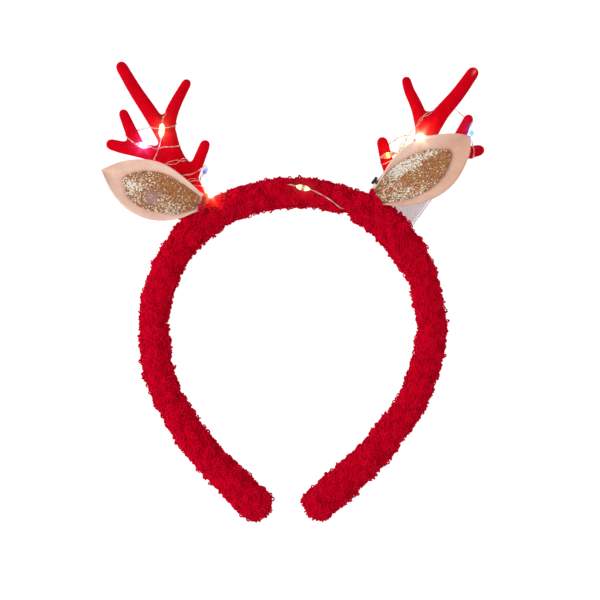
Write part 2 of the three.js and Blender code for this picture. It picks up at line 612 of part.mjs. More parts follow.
// Each drop is a bored bead with rounded shoulders, turned round the wire
const half = LIGHT_LENGTH / 2;
const dropProfile = [
  [LIGHT_BORE / 2, -half], [LIGHT_DIAMETER / 2 - LIGHT_SHOULDER / 3, -half],
  [LIGHT_DIAMETER / 2, -half + LIGHT_SHOULDER], [LIGHT_DIAMETER / 2, half - LIGHT_SHOULDER],
  [LIGHT_DIAMETER / 2 - LIGHT_SHOULDER / 3, half], [LIGHT_BORE / 2, half], [LIGHT_BORE / 2, -half],
].map(([radius, height]) => new THREE.Vector2(radius, height));
for (const { light, at, aim, colour } of LIGHTS) {
  const drop = addPiece(headband, light, closed(new THREE.LatheGeometry(dropProfile, LIGHT_SIDES)),
    { color: colour, roughness: 0.2, metalness: 0, emissive: colour });
  drop.position.set(...at);
  drop.quaternion.setFromUnitVectors(ALONG_Y, new THREE.Vector3(...aim).normalize());
}

export default headband;
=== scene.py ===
# Light-up reindeer headband: the looks of every piece, in metres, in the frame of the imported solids.
# The band lies on its back: X runs across it, Y from its open ends to its crown, Z is its depth.
# Angles in tables are in degrees, and a table whose heading says so is in millimetres.

import math

import bpy
import numpy as np
from mathutils import Matrix, Vector, noise
from mathutils.bvhtree import BVHTree


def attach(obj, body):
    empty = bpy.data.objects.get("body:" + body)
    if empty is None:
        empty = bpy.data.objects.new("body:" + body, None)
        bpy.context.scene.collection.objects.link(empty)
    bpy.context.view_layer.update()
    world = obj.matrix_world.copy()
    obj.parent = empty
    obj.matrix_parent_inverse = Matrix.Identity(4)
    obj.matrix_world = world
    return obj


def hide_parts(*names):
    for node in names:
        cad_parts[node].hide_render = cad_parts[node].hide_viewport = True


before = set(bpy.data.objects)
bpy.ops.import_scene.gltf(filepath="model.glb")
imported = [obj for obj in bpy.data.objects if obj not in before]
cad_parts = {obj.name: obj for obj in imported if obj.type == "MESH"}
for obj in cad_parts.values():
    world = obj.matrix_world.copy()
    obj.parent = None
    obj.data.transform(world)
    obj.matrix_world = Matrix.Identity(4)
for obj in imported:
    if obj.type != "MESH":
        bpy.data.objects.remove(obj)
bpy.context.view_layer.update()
rng = np.random.default_rng(12)

BODY = "headband"
SIGNS = {"left": -1, "right": 1}
MM_PER_M = 1000
TURN = 2 * math.pi
UP = np.array([0.0, 0.0, 1.0])
# A direction that no wire starts along, and a length that keeps a direction from vanishing
ASLANT = UP + 0.1
TINY = 1e-6


# Picture: the photo's scale and the height where it holds, and the pixel where the frame's origin lies
PIXEL = 0.000466
SCALE_HEIGHT = 0.013
PICTURE_SIDE = 600
ORIGIN_PIXEL = (292.5, 294.5)
CAMERA_HEIGHT = 2.5
SENSOR_MM = 36

# Studio: the floor, soft square lights as name, place and watts, and the camera's glare round the lit drops
FLOOR_HALF = 4.0
WORLD_STRENGTH = 0.54
PANEL_SIDE = 1.0
PANELS = [("key_left", (-1.0, -0.05, 1.0), 11.4), ("fill_right", (1.1, -0.2, 1.0), 2.6)]
GLARES = {
    "BLOOM": {"Threshold": 1.8, "Strength": 0.35, "Size": 0.03},
    "STREAKS": {"Threshold": 5.0, "Strength": 0.3, "Streaks": 6, "Iterations": 2, "Fade": 0.7},
}

# Band: the arcs of its middle line from the crown to each open end; thickness is at the end of an arc
BAND_CROWN_Y = 0.0474
BAND_CROWN_THICKNESS = 0.0148
BAND_HALF_DEPTH = 0.0105
BAND_SQUARENESS = 2.4
BAND_ARCS = {
    "left": [dict(radius=0.066, sweep=41, thickness=0.0148),
             dict(radius=0.0642, sweep=78, thickness=0.0146),
             dict(radius=0.19, sweep=19.7, thickness=0.0168)],
    "right": [dict(radius=0.0654, sweep=50, thickness=0.0148),
              dict(radius=0.0634, sweep=73.6, thickness=0.0146),
              dict(radius=0.218, sweep=16.6, thickness=0.0168)],
}
BAND_END_LENGTH = 0.0068
LINE_STEP = 0.0005

# Where the pile stands out round the feet of the ears and the case, and up over the feet of the ears, as
# sweeps from the crown; the rises are the sines and cosines round the section between which it does so
SWELLS = [
    dict(first=-50, last=-31, edge=4, out=0.0016, up=0),
    dict(first=-46, last=-37, edge=5, out=0, up=0.0022),
    dict(first=27, last=60, edge=4, out=0.0030, up=0),
    dict(first=29, last=37, edge=5, out=0, up=0.0022),
]
OUT_RISE = (0.06, 0.35)
UP_RISE = (0.1, 0.5)
# Where the wire draws the band's inner side in
PINCHES = [dict(sweep=23.5, reach=3.2, depth=0.0025), dict(sweep=15, reach=13, depth=0.0010)]
# How far the soft band strays outwards from its arcs, at some ways along it from the crown, in millimetres
STRAYS = {
    "left": [(0, 0), (15, -0.1), (39, 0.2), (51, 0.4), (63, 0.7), (78, -0.2), (93, -0.25), (108, -0.9),
             (122, -0.2), (135, 0.6), (153, 0.8), (168, 0.3), (184, -0.6), (200, -0.3)],
    "right": [(0, 0), (18, 0), (33, 0.5), (47, 0.5), (61, -0.2), (74, 0.6), (88, -0.2), (99, 0), (112, -0.5),
              (123, -0.9), (132, -0.1), (142, 0.4), (152, 0.1), (168, 0.4), (180, -0.5), (200, -0.8)],
}

# Padding under the curls, how far it keeps inside the band's skin and over the floor, and its knobs
PAD_INSET = 0.0012
PAD_SIDES = 56
PAD_STEP = 0.0011
PAD_END_SIZES = (0.985, 0.94, 0.86, 0.74, 0.57, 0.36, 0.12)
PAD_FLOOR_GAP = 0.0004
KNOB_SIZE = 0.0046
KNOB_HEIGHT = 0.0026
KNOB_MEAN = 0.35
PIT_DISTANCE = 0.9

# Curls of the looped cloth: tilted turns of yarn that sway and sink in at both ends, and fewer underneath
CURL_SPACING = 0.0014
CURL_TRIES = 90000
END_CURL_TRIES = 2250
CURL_POINTS = 13
CURL_SIDES = 4
CURL_RADIUS = (0.0006, 0.00105)
CURL_LIFT = (-0.0002, 0.0003)
CURL_TURNS = (0.8, 1.3)
CURL_TILT = (0, 35)
CURL_DRIFT = 0.0016
CURL_SWAY = 0.0004
CURL_BEAT = (1.2, 2.2)
CURL_WOBBLE = 0.25
CURL_DIP = 0.0009
# The random spread of a curl's tone; its knob height is added, so curls in the pits between knobs are
# painted darker as shade
CURL_TONES = (-0.15, 0.3)
LONG_CURL_SHARE = 0.015
LONG_CURL_LIFT = 0.0004
LONG_CURL_TILT = 80
UNDERSIDE = -0.6
UNDERSIDE_SHARE = 0.13
YARN_RADIUS = (0.00033, 0.00044)
YARN_END = 0.6
CURL_CLEARANCE = 0.0009
FLOOR_GAP = 0.0001
CURL_PIECES = ["left_leg", "left_side", "crown", "right_side", "right_leg"]
# Curls over the cut feet of the ears: along is a share of the ear, sweep says which piece they belong to
FOOT_CURLS = 120
FOOT_CURL_HEIGHT = (-0.004, 0.0028)
FOOT_CURL_ALONG = (-0.016, 0.004)
FOOT_CURL_LEAN = 0.5
FOOT_CURL_SWEEP = 32
FOOT_CURL_TONES = (0.3, 0.8)

# Ears: leaves folded along their length, in millimetres; rows give a share of the length and the half widths
# above and below the fold; pale is painted light and shade on the felt: each ear's level, how much paler
# above the fold and towards the tip
EARS = {
    "left": dict(
        base=(-41.7, 42.6), aim=162, length=49.3, fold=1.5, pale=(0.8, 0.1, 0),
        felt=[(0.0, 3.6, 4.1), (0.05, 4.4, 5.8), (0.13, 6.2, 9.3), (0.26, 8.9, 12.9), (0.4, 11, 14.9),
              (0.54, 11.6, 15), (0.7, 9.9, 12.9), (0.85, 6.4, 8.2), (1.0, 0.4, 0.4)],
        lining=[(0.05, 2, 3.6), (0.1, 2.9, 5.6), (0.22, 4.7, 8.8), (0.36, 6.5, 10.4), (0.5, 6.8, 11),
                (0.62, 5.2, 9.8), (0.72, 2.6, 6.4), (0.785, 0, 1.2)]),
    "right": dict(
        base=(37, 45.9), aim=31, length=53.1, fold=1.2, pale=(0.42, 0.8, -0.4),
        felt=[(0.025, 2, 5.7), (0.07, 2.9, 7.4), (0.14, 4.8, 10.2), (0.26, 8.4, 13.3), (0.4, 11, 15.5),
              (0.54, 11.6, 16), (0.7, 9.9, 14.1), (0.85, 6.4, 9.5), (0.93, 3.7, 6), (1.0, 0.4, 0.4)],
        lining=[(0.03, 1.8, 5.2), (0.1, 2.9, 6.6), (0.22, 5.3, 9.1), (0.36, 6.4, 10.6), (0.5, 6.2, 10.7),
                (0.62, 4.7, 8.8), (0.72, 1.7, 5.5), (0.777, 0, 2.6)]),
}
FELT_THICKNESS = 0.0016
LINING_LIFT = 0.0019
LINING_THICKNESS = 0.0009
EAR_BASE_Z = 0.0191
EAR_LEAN = 0.1
EAR_CUP = (0.006, 0.002)
CUP_LIMIT = 1.05
PAINTED_LIGHT_REACH = 0.011
LEAF_ROWS = 60
LEAF_COLUMNS = 32
LEAST_HALF = 1e-5
LEAST_WIDTH = 2e-5
RIM_SHARE = 0.3

# Glitter: flakes from cream to dark, tried over the widest lining, and the limits of their share painted
# cream as glints
FLAKES = 3300
FLAKE_TRIES = 6 * FLAKES
FLAKE_SPAN = (0.005, 0.985)
WIDEST_LINING = 0.0112
FLAKE_SIDES = 6
FLAKE_RADIUS = (0.00024, 0.00046)
FLAKE_THICKNESS = 0.00006
FLAKE_TILT = 26
FLAKE_TILT_SPREAD = 0.6
FLAKE_TONES = (0.85, 1.05)
FLAKE_PALETTE = [(1.0, 0.92, 0.80), (0.58, 0.295, 0.115), (0.41, 0.142, 0.034), (0.19, 0.06, 0.018)]
PAINTED_GLINT_BASE = 0.1
PAINTED_GLINT_LIMITS = (0.03, 0.95)
TAN_BASE = 0.15
TAN_GROWTH = 0.6
DARK_FROM = 0.94
# Where more or fewer flakes are painted cream as glints, a negative level painting shade along the fold: the
# middle as shares along and across, the reach along, and the level
PAINTED_GLINT_ZONES = {
    "left": [(0.7, -0.35, 0.12, 0.75), (0.28, -0.85, 0.15, 0.3), (0.56, 0.6, 0.09, 0.2),
             (0.3, 0.4, 0.2, -0.12)],
    "right": [(0.32, 0.65, 0.16, 1.2), (0.6, 0.55, 0.13, 0.6), (0.22, -0.7, 0.13, 0.35),
              (0.44, -0.9, 0.1, 0.25), (0.04, -0.4, 0.06, 0.5), (0.32, -0.1, 0.09, -0.4),
              (0.58, -0.22, 0.16, -0.4)],
}
ZONE_WIDTH = 4
# A spot on one lining where light from the magenta drop is painted into the flakes' colours
PAINTED_MAGENTA_TINGE = dict(side="left", zone=(0.46, -0.45, 0.07, 0.6), colour=(0.60, 0.36, 0.42))

# Battery box and its wire hole, in the box's own frame, which is turned about its inner middle
BOX_INNER_MIDDLE = (0.04545, 0.0393)
BOX_TURN = -36
BOX_END = -0.013
BOX_HOLE = dict(inside=0.0022, outside=0.0024, out=0.0165, z=0.006)

# Light string: drops with a chip inside, and the wire's way through the band
TUNNEL = dict(sweep=31, outer=0.0096, inner=-0.005, z=0.013)
DROP_LENGTH = 0.0068
DROP_RADIUS = 0.0013
DROP_LEAD = 0.0036
DROP_POINT = 0.75
DROP_RINGS = 31
DROP_SIDES = 14
DROP_TIP = 0.999
CHIP_LENGTH = 0.0026
CHIP_RADIUS = 0.00055
CHIP_TIP = 0.00002
CHIP_SIDES = 10
WIDE_CHIPS = {"led_05": 0.0010}
RESIN_PALENESS = 0.6
LAMP_LIFT = 0.002
LAMP_SIZE = 0.0012
# Lights: the resin glows by ends and, over a reach round its middle, by middle;
# lamp is the light cast around, in watts
LIGHT_COLUMNS = ("name", "at", "aim", "tint", "ends", "middle", "reach", "chip", "lamp", "cast")
LIGHT_ROWS = [
    ("led_01", (-0.0608, 0.0762, 0.0205), (-0.08, -1, 0), (1, 0.72, 0.35), 3.2, 0.3, 0.0007,
     (0.2, 0.08, 0.02), 0.0009, (1, 0.3, 0.03)),
    ("led_02", (-0.0694, 0.0694, 0.0191), (-1, 0.18, 0), (1, 0.4, 1), 0.1, 5, 0.0012,
     (0.6, 0.1, 0.6), 0.004, (0.12, 0, 1)),
    ("led_03", (-0.0408, 0.0574, 0.0155), (0.25, 0.55, 0.8), (0.35, 0.55, 1), 0.25, 0.25, 0.0010,
     (0.02, 0.05, 0.35), 0.0003, (0.1, 0.3, 1)),
    ("led_04", (-0.0384, 0.0465, 0.0182), (-0.1, 0.15, 1), (1, 0.52, 0.22), 9, 9, 0.0010,
     (1, 0.5, 0.2), 0.0008, (1, 0.45, 0.15)),
    ("led_05", (0.0049, 0.0495, 0.0226), (-0.97, 0.23, 0), (1, 1, 0.5), 1.5, 0, 0.0011,
     (0.06, 0.02, 0.01), 0.0003, (1, 0.4, 0.05)),
    ("led_06", (0.0596, 0.0728, 0.0203), (-0.97, 0.2, 0), (1, 0.74, 0.45), 0.2, 24, 0.0014,
     (1, 0.6, 0.3), 0.001, (1, 0.5, 0.2)),
    ("led_07", (0.0444, 0.0647, 0.0188), (0.96, 0.27, 0), (1, 0.6, 0.2), 0.02, 1.8, 0.0006,
     (0.4, 0.2, 0.05), 0.0014, (1, 0.35, 0.05)),
    ("led_08", (0.0512, 0.0693, 0.0174), (0.52, 0.85, 0.05), (0.8, 1, 0.82), 0.05, 0.05, 0.0010,
     (0.75, 0.95, 0.75), 0.0003, (0.15, 1, 0.3)),
    ("led_09", (0.0833, 0.0750, 0.0179), (0.06, -1, 0.02), (0.06, 0.18, 1), 3.0, 0.8, 0.0008,
     (0.02, 0.05, 0.35), 0.0014, (0.1, 0.3, 1)),
]
LIGHTS = [dict(zip(LIGHT_COLUMNS, row)) for row in LIGHT_ROWS]
for light in LIGHTS:
    light["at"] = np.array(light["at"])

# Wire: two strands with a gap that widens at the drops, where they lie level once they are apart enough
STRAND_RADIUS = 0.00014
STRAND_SIDES = 6
STRAND_STEP = 0.0006
TWIN_GAP = 0.00031
TWIST_PITCH = 0.013
TWIST_SMOOTHING = 6
DROP_SPREAD = 0.0012
DROP_BOW = 0.0035
LEVEL_FROM = 0.2
# The wire's way through each drop and hole and the points after it, in millimetres
WIRE_ROUTE = {
    "box_hole": [
        (40.3, 61.4, 10.7), (40, 60.5, 13.8), (41.2, 60.3, 16.9), (43.8, 61.2, 17.8), (46.8, 62.8, 17.1),
        (48.2, 63.6, 14.4), (46.6, 63.5, 11.2), (43.4, 63.3, 10.9), (40.2, 63.2, 12.4), (40, 63.5, 16)],
    "led_07": [],
    "led_08": [
        (54.4, 74.8, 17.4), (57, 78, 18.7), (60.2, 82, 18.6), (63.2, 85.2, 18.2), (65.6, 87, 15.2),
        (67.6, 87.6, 11.6), (70.5, 87.8, 10.3), (76.3, 86, 10.9), (80, 82.8, 10.7), (85.1, 80.6, 13.2)],
    "led_09": [
        (84.4, 67.8, 17.9), (84.4, 64, 17), (83.6, 63, 13.6), (80, 64.2, 10.7), (74, 64.2, 10.4),
        (70, 60.5, 11.3), (66.5, 58.2, 14.6), (64.3, 61.5, 18.4), (64, 67, 18.7)],
    "led_06": [
        (53.4, 74, 19.6), (49, 72.8, 18), (46.6, 70.6, 13.2), (45.2, 67.9, 11), (48, 66.2, 11.2),
        (50.2, 63.4, 13), (50, 61, 16.4), (47.8, 57, 18.4), (44.5, 52.5, 18.5), (41, 49.3, 16.5)],
    "tunnel": [],
    "led_05": [],
    "led_04": [
        (-40.3, 48.9, 22.6), (-44, 51, 19.4), (-48.2, 50.4, 18.4), (-49.9, 51.9, 18.4), (-47.5, 53.2, 18.4),
        (-44.4, 53.6, 18), (-42.6, 53, 15.2)],
    "led_03": [
        (-40.6, 60.2, 20.2), (-42.6, 58.2, 19.6), (-46.4, 56.2, 18.6), (-51.3, 55.3, 18.5),
        (-55.2, 53.6, 15.5), (-55, 54.4, 12), (-51.5, 57.8, 10.2), (-48.8, 61.8, 11.2), (-48.1, 63.4, 14.3),
        (-49.6, 63.2, 18), (-54, 61.7, 18.5), (-58.6, 60.4, 18), (-60.6, 58.8, 14.6), (-58.8, 61.2, 10.4),
        (-55, 66.5, 10.1), (-52, 69.2, 12.2), (-51.9, 69.5, 15.6), (-54.2, 68.9, 18.2), (-58.5, 68.6, 18.5),
        (-63.2, 68.6, 18.6)],
    "led_02": [
        (-75.2, 71.3, 17.8), (-77.4, 72.8, 16.6), (-78.2, 74, 14), (-77, 75.4, 11.2), (-74.5, 76.8, 10.7),
        (-71.6, 77.2, 12.6), (-68, 77.1, 16.5), (-64.5, 77.1, 18.3), (-60.8, 77.3, 18.4), (-56.5, 78, 18.2),
        (-53.6, 79.1, 15), (-54.6, 81, 10.9), (-58, 83.6, 10.6), (-59.8, 85.8, 13.2), (-59.7, 85.4, 16.8),
        (-60.1, 82.4, 19.2)],
    "led_01": [(-61.7, 69.4, 20.1), (-63.4, 65, 19.6), (-64.6, 62.2, 19.4)],
}
# Where it follows the band after a drop or hole: the sweep from the crown, the angle round the section and
# the lift off the padding in millimetres
BAND_ROUTE = {
    "tunnel": [(28, 150, -4), (26, 125, -4), (24, 118, -4), (22.3, 113, -1.8), (20.8, 109, 0.4),
               (17.2, 98, 0.7), (13.6, 91, 0.7), (9.8, 85, 0.7)],
    "led_05": [(-1.0, 66, 0.3), (-4, 45, -3), (-8, 0, -3), (-14, -10, -3), (-21, -10, -3), (-27, -10, -2.5),
               (-30.5, -8, 1.4)],
}
# Places where the two strands bow apart, over which reach and how far, in millimetres
WIRE_EYES = [(-54, 61.7, 18.5, 5, 1.8), (61.8, 84, 18, 5, 1.2), (-47.5, 53.2, 18.4, 4, 1.2)]
# Half the angle of the flat that the solid band rests on, which sets how deep its section is
FLAT_HALF_ANGLE = math.pi / 16

# How near to an antler the wire is drawn right against it, how far off it is left as it runs, and between
# which distances from a drop it comes free
HUG_GAP = 0.0003
HUG_NEAR = 0.0013
HUG_REACH = 0.0026
HUG_ROUNDS = 3
HUG_FREE = (0.003, 0.006)

# Antlers: how finely they are rounded over, how far the flock fills their forks, and a pale spot on one tip,
# partly rubbed flock and partly a painted highlight
ANTLER_VOXEL = 0.0005
ANTLER_SMOOTHING = 14
ANTLER_SWELL = 0.00022
FORK_FILL = 0.0006
HIGHLIGHT_AND_WEAR_SPOT = dict(side="right", at=(0.0847, 0.1036), along=(0.55, 0.83), length=0.0013, width=0.0006)


# Arrays

def unit(vectors):
    length = np.linalg.norm(vectors, axis=-1, keepdims=True)
    return vectors / np.maximum(length, 1e-12)


def turned(angle, first, second):
    """Directions turned by angles from a first direction towards a second."""
    return np.cos(angle)[..., None] * first + np.sin(angle)[..., None] * second


def ring_angles(sides, start=0):
    return (np.arange(sides) + start) * TURN / sides


def ease(value, low, high):
    """0 below low, 1 above high and smooth between them."""
    share = np.clip((value - low) / (high - low), 0, 1)
    return share ** 2 * (3 - 2 * share)


def smooth(rows):
    """Moves each inner row halfway to the mean of its neighbours."""
    rows[1:-1] = (rows[:-2] + 2 * rows[1:-1] + rows[2:]) / 4


def smooth_reader(xs, ys):
    """Reads a smooth curve through points, at any place."""
    xs, ys = np.asarray(xs, dtype=float), np.asarray(ys, dtype=float)
    slopes = np.gradient(ys, xs)

    def read(x):
        index = np.clip(np.searchsorted(xs, x) - 1, 0, len(xs) - 2)
        width = xs[index + 1] - xs[index]
        share = (x - xs[index]) / width
        rest = 1 - share
        return (ys[index] * (1 + 2 * share) * rest ** 2
                + slopes[index] * width * share * rest ** 2
                + ys[index + 1] * (3 - 2 * share) * share ** 2
                - slopes[index + 1] * width * rest * share ** 2)

    return read


# Meshes

def new_object(name, data):
    thing = bpy.data.objects.new(name, data)
    bpy.context.scene.collection.objects.link(thing)
    return thing


def paint(mesh, tones):
    """Gives each point of a mesh a colour, or one number as a grey."""
    rgba = np.ones((len(mesh.vertices), 4), dtype=np.float32)
    rgba[:, :3] = np.reshape(tones, (len(rgba), -1))
    layer = mesh.color_attributes.new("tone", "FLOAT_COLOR", "POINT")
    layer.data.foreach_set("color", rgba.ravel())


def place_mesh(name, mesh, material, shaded_smooth=True):
    mesh.polygons.foreach_set("use_smooth", np.full(len(mesh.polygons), shaded_smooth))
    mesh.materials.clear()
    mesh.materials.append(material)
    piece = new_object(name, mesh)
    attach(piece, BODY)
    return piece


def add_piece(name, points, faces, material, tones=None, shaded_smooth=True):
    """A piece from arrays of points and equal-sided faces, with a tone for each point if given."""
    mesh = bpy.data.meshes.new(name)
    mesh.vertices.add(len(points))
    mesh.vertices.foreach_set("co", np.asarray(points, dtype=np.float32).ravel())
    mesh.loops.add(faces.size)
    mesh.loops.foreach_set("vertex_index", faces.ravel().astype(np.int32))
    mesh.polygons.add(len(faces))
    mesh.polygons.foreach_set("loop_start", np.arange(0, faces.size, faces.shape[1], dtype=np.int32))
    mesh.update(calc_edges=True)
    if tones is not None:
        paint(mesh, tones)
    return place_mesh(name, mesh, material, shaded_smooth)


def closed_faces(rings, sides):
    """Quads between neighbouring rings of points, then ladders of quads over the first and the last ring."""
    ring, side = np.meshgrid(np.arange(rings - 1), np.arange(sides), indexing="ij")
    here = ring * sides + side
    beside = ring * sides + (side + 1) % sides
    walls = np.stack([here, beside, beside + sides, here + sides], axis=-1).reshape(-1, 4)
    step = np.arange(sides // 2 - 1)
    first = np.stack([step, sides - 1 - step, sides - 2 - step, step + 1], axis=-1)
    last = first[:, ::-1] + (rings - 1) * sides
    return np.concatenate([walls, first, last])


def copies(faces, number, corners):
    """The faces of a number of like forms, whose points follow each other."""
    return (faces[None] + (np.arange(number) * corners)[:, None, None]).reshape(-1, 4)


def tube(path, radius, sides):
    """Rings of points round a path, with frames carried along it without twist."""
    heading = unit(np.gradient(path, axis=0))
    side = unit(np.cross(heading[0], ASLANT))
    rings = []
    for point, ahead in zip(path, heading):
        side = unit(side - ahead * np.dot(side, ahead))
        rings.append(point + radius * turned(ring_angles(sides), side, np.cross(ahead, side)))
    return np.concatenate(rings)


def lathe(radii, heights, sides):
    """Rings of points of a turned form along Z, from radii and heights that start and end near the axis."""
    angles = ring_angles(sides)
    rings = [np.stack([radius * np.cos(angles), radius * np.sin(angles), np.full(sides, height)], axis=-1)
             for radius, height in zip(radii, heights)]
    return np.concatenate(rings)


def tree_of(piece):
    """A search tree over a piece's faces."""
    points = [vertex.co for vertex in piece.data.vertices]
    return BVHTree.FromPolygons(points, [face.vertices for face in piece.data.polygons])


# Nodes of materials

def connect(material, value, socket):
    """Sets a number or a colour on a socket, or links another node's output to it."""
    if isinstance(value, bpy.types.NodeSocket):
        material.node_tree.links.new(value, socket)
    else:
        socket.default_value = value


def feed(material, name, value):
    """Sets or links one of the shader's sockets."""
    connect(material, value, material.node_tree.nodes["Principled BSDF"].inputs[name])


def new_material(name, **values):
    """A material with the shader's sockets set by name, with _ for a space."""
    material = bpy.data.materials.new(name)
    material.use_nodes = True
    for key, value in values.items():
        socket = key.replace("_", " ").title().replace("Ior", "IOR")
        feed(material, socket, (*value, 1) if isinstance(value, tuple) else value)
    return material


def new_node(material, kind, **inputs):
    node = material.node_tree.nodes.new(f"ShaderNode{kind}")
    for name, value in inputs.items():
        connect(material, value, node.inputs[name])
    return node


def noise_node(material, scale, detail, roughness=0.5):
    place = new_node(material, "TexCoord").outputs["Object"]
    texture = new_node(material, "TexNoise", Vector=place, Scale=scale, Detail=detail, Roughness=roughness)
    return texture.outputs["Fac"]


def ramp_node(material, source, stops):
    """A source run through a ramp of colours, or of numbers as greys."""
    ramp = new_node(material, "ValToRGB", Fac=source)
    elements = ramp.color_ramp.elements
    while len(elements) < len(stops):
        elements.new(0.5)
    for element, (place, colour) in zip(elements, stops):
        element.position = place
        element.color = (*(np.ones(3) * colour), 1)
    return ramp.outputs["Color"]


def tone_node(material, output="Fac"):
    """What is painted on each point."""
    attribute = new_node(material, "Attribute")
    attribute.attribute_name = "tone"
    return attribute.outputs[output]


def weighted_sum(material, *rows):
    """The sum of some sources, each times its weight."""
    total = 0
    for source, weight in rows:
        node = new_node(material, "Math")
        node.operation = "MULTIPLY_ADD"
        for value, socket in zip((source, weight, total), node.inputs):
            connect(material, value, socket)
        total = node.outputs["Value"]
    return total


def add_bump(material, scale, detail, strength, distance, roughness=0.5):
    height = noise_node(material, scale, detail, roughness)
    bump = new_node(material, "Bump", Strength=strength, Distance=distance, Height=height)
    feed(material, "Normal", bump.outputs["Normal"])


# Materials

def grained_material(name, socket, grain, stops, bump=None, **values):
    """A material with one socket fed by a noise through a ramp, and a bump where one is given.

    grain is the noise's scale and detail; bump is a scale, a detail, a strength and a distance.
    """
    material = new_material(name, **values)
    feed(material, socket, ramp_node(material, noise_node(material, *grain), stops))
    if bump is not None:
        add_bump(material, *bump)
    return material


def yarn_material():
    material = new_material("red_yarn", roughness=0.95, specular_ior_level=0.02, sheen_weight=0.25,
                            sheen_roughness=0.5, sheen_tint=(1.0, 0.02, 0.2))
    # The tone is darker in the pits between knobs, which is painted shade, and spread at random
    level = weighted_sum(material, (tone_node(material), 0.7), (noise_node(material, 600, 3), 0.3))
    stops = [(0.1, (0.50, 0.0, 0.010)), (0.5, (0.60, 0.0, 0.016)), (0.9, (0.70, 0.002, 0.028))]
    feed(material, "Base Color", ramp_node(material, level, stops))
    add_bump(material, scale=3800, detail=2, strength=0.3, distance=0.0002)
    return material


def padding_material():
    stops = [(0.3, (0.52, 0.0, 0.010)), (0.7, (0.62, 0.0, 0.016))]
    return grained_material("red_backing", "Base Color", (700, 3), stops, (1800, 3, 0.8, 0.0004),
                            roughness=0.95, specular_ior_level=0.02, sheen_weight=0.1,
                            sheen_tint=(1.0, 0.02, 0.16))


def flock_material():
    material = new_material("red_flock", roughness=0.9, specular_ior_level=0.03, sheen_weight=0.45,
                            sheen_roughness=0.4, sheen_tint=(1.0, 0.01, 0.12))
    stops = [(0.25, (0.54, 0.0, 0.005)), (0.6, (0.67, 0.0, 0.009)), (0.85, (0.76, 0.0, 0.016))]
    colour = ramp_node(material, noise_node(material, 330, 4, 0.6), stops)
    # The pale spot mixed in here: partly rubbed flock, partly a painted highlight
    highlight_and_wear_mix = new_node(material, "Mix")
    highlight_and_wear_mix.data_type = "RGBA"
    for name, value in (("Factor", tone_node(material)), ("A", colour), ("B", (0.85, 0.20, 0.15, 1))):
        connect(material, value, highlight_and_wear_mix.inputs[name])
    feed(material, "Base Color", highlight_and_wear_mix.outputs["Result"])
    add_bump(material, scale=4200, detail=2, strength=0.45, distance=0.00015)
    return material


def felt_material():
    material = new_material("tan_felt", roughness=0.95, specular_ior_level=0.1, sheen_weight=0.1,
                            sheen_roughness=0.5)
    fibre, patch = noise_node(material, 900, 6, 0.7), noise_node(material, 160, 2)
    # The tone carries painted light and shade: each ear's level, paler above the fold and towards the tip
    level = weighted_sum(material, (fibre, 0.5), (patch, 0.4), (tone_node(material), 0.5))
    stops = [(0.3, (0.64, 0.35, 0.24)), (0.6, (0.76, 0.45, 0.33)), (0.95, (0.93, 0.63, 0.51))]
    feed(material, "Base Color", ramp_node(material, level, stops))
    add_bump(material, scale=3000, detail=4, strength=0.5, distance=0.0002, roughness=0.7)
    return material


def glitter_cloth_material():
    stops = [(0.35, (0.28, 0.11, 0.04)), (0.65, (0.44, 0.19, 0.07))]
    return grained_material("glitter_cloth", "Base Color", (1500, 2), stops, (2200, 2, 0.6, 0.0002),
                            roughness=0.6, metallic=0.1)


def flake_material():
    material = new_material("gold_flakes", metallic=0.1, roughness=0.4)
    # The flakes' colours carry painted glints, painted shade along the fold and a painted magenta tinge
    feed(material, "Base Color", tone_node(material, "Color"))
    return material


def wire_material():
    # The colour runs from dark copper to pale in stretches along the wire, painted highlights and shade
    stops = [(0.35, (0.58, 0.31, 0.24)), (0.65, (1.0, 0.75, 0.57))]
    return grained_material("copper_wire_painted_highlights", "Base Color", (500, 2), stops, metallic=0.6, roughness=0.3)


def case_material():
    # The pink tint in the milky grey base colour paints red light thrown back from the band
    return grained_material("milky_case", "Roughness", (90, 2), [(0.3, 0.16), (0.7, 0.24)],
                            (250, 1, 0.03, 0.0001), base_color=(0.82, 0.75, 0.76), ior=1.49,
                            transmission_weight=0.92, alpha=0.9)


def black_material():
    return grained_material("black_plastic", "Roughness", (900, 3), [(0.3, 0.35), (0.7, 0.55)],
                            (3500, 2, 0.25, 0.0001), base_color=(0.012, 0.011, 0.013))


def resin_material(light):
    pale = tuple(RESIN_PALENESS + (1 - RESIN_PALENESS) * share for share in light["tint"])
    material = new_material(f"resin_{light['name']}", base_color=pale, roughness=0.08, ior=1.45,
                            transmission_weight=0.9, emission_color=light["tint"])
    feed(material, "Emission Strength", tone_node(material))
    add_bump(material, scale=900, detail=1, strength=0.2, distance=0.0002)
    return material


def chip_material(light):
    return new_material(f"chip_{light['name']}", base_color=light["chip"], roughness=0.5)


def floor_material():
    return new_material("pale_floor", base_color=(0.3, 0.3, 0.3), roughness=0.8, specular_ior_level=0.1,
                        emission_color=(1, 1, 1), emission_strength=0.95)


# Camera, floor and studio light

def add_camera():
    data = bpy.data.cameras.new("camera")
    data.sensor_width = SENSOR_MM
    data.lens = SENSOR_MM * (CAMERA_HEIGHT - SCALE_HEIGHT) / (PIXEL * PICTURE_SIDE)
    camera = new_object("camera", data)
    middle = PICTURE_SIDE / 2
    camera.location = ((middle - ORIGIN_PIXEL[0]) * PIXEL, (ORIGIN_PIXEL[1] - middle) * PIXEL, CAMERA_HEIGHT)
    bpy.context.scene.camera = camera


def add_floor():
    mesh = bpy.data.meshes.new("floor")
    corners = [(-1, -1), (1, -1), (1, 1), (-1, 1)]
    mesh.from_pydata([(FLOOR_HALF * x, FLOOR_HALF * y, 0) for x, y in corners], [], [(0, 1, 2, 3)])
    mesh.materials.append(floor_material())
    new_object("floor", mesh)


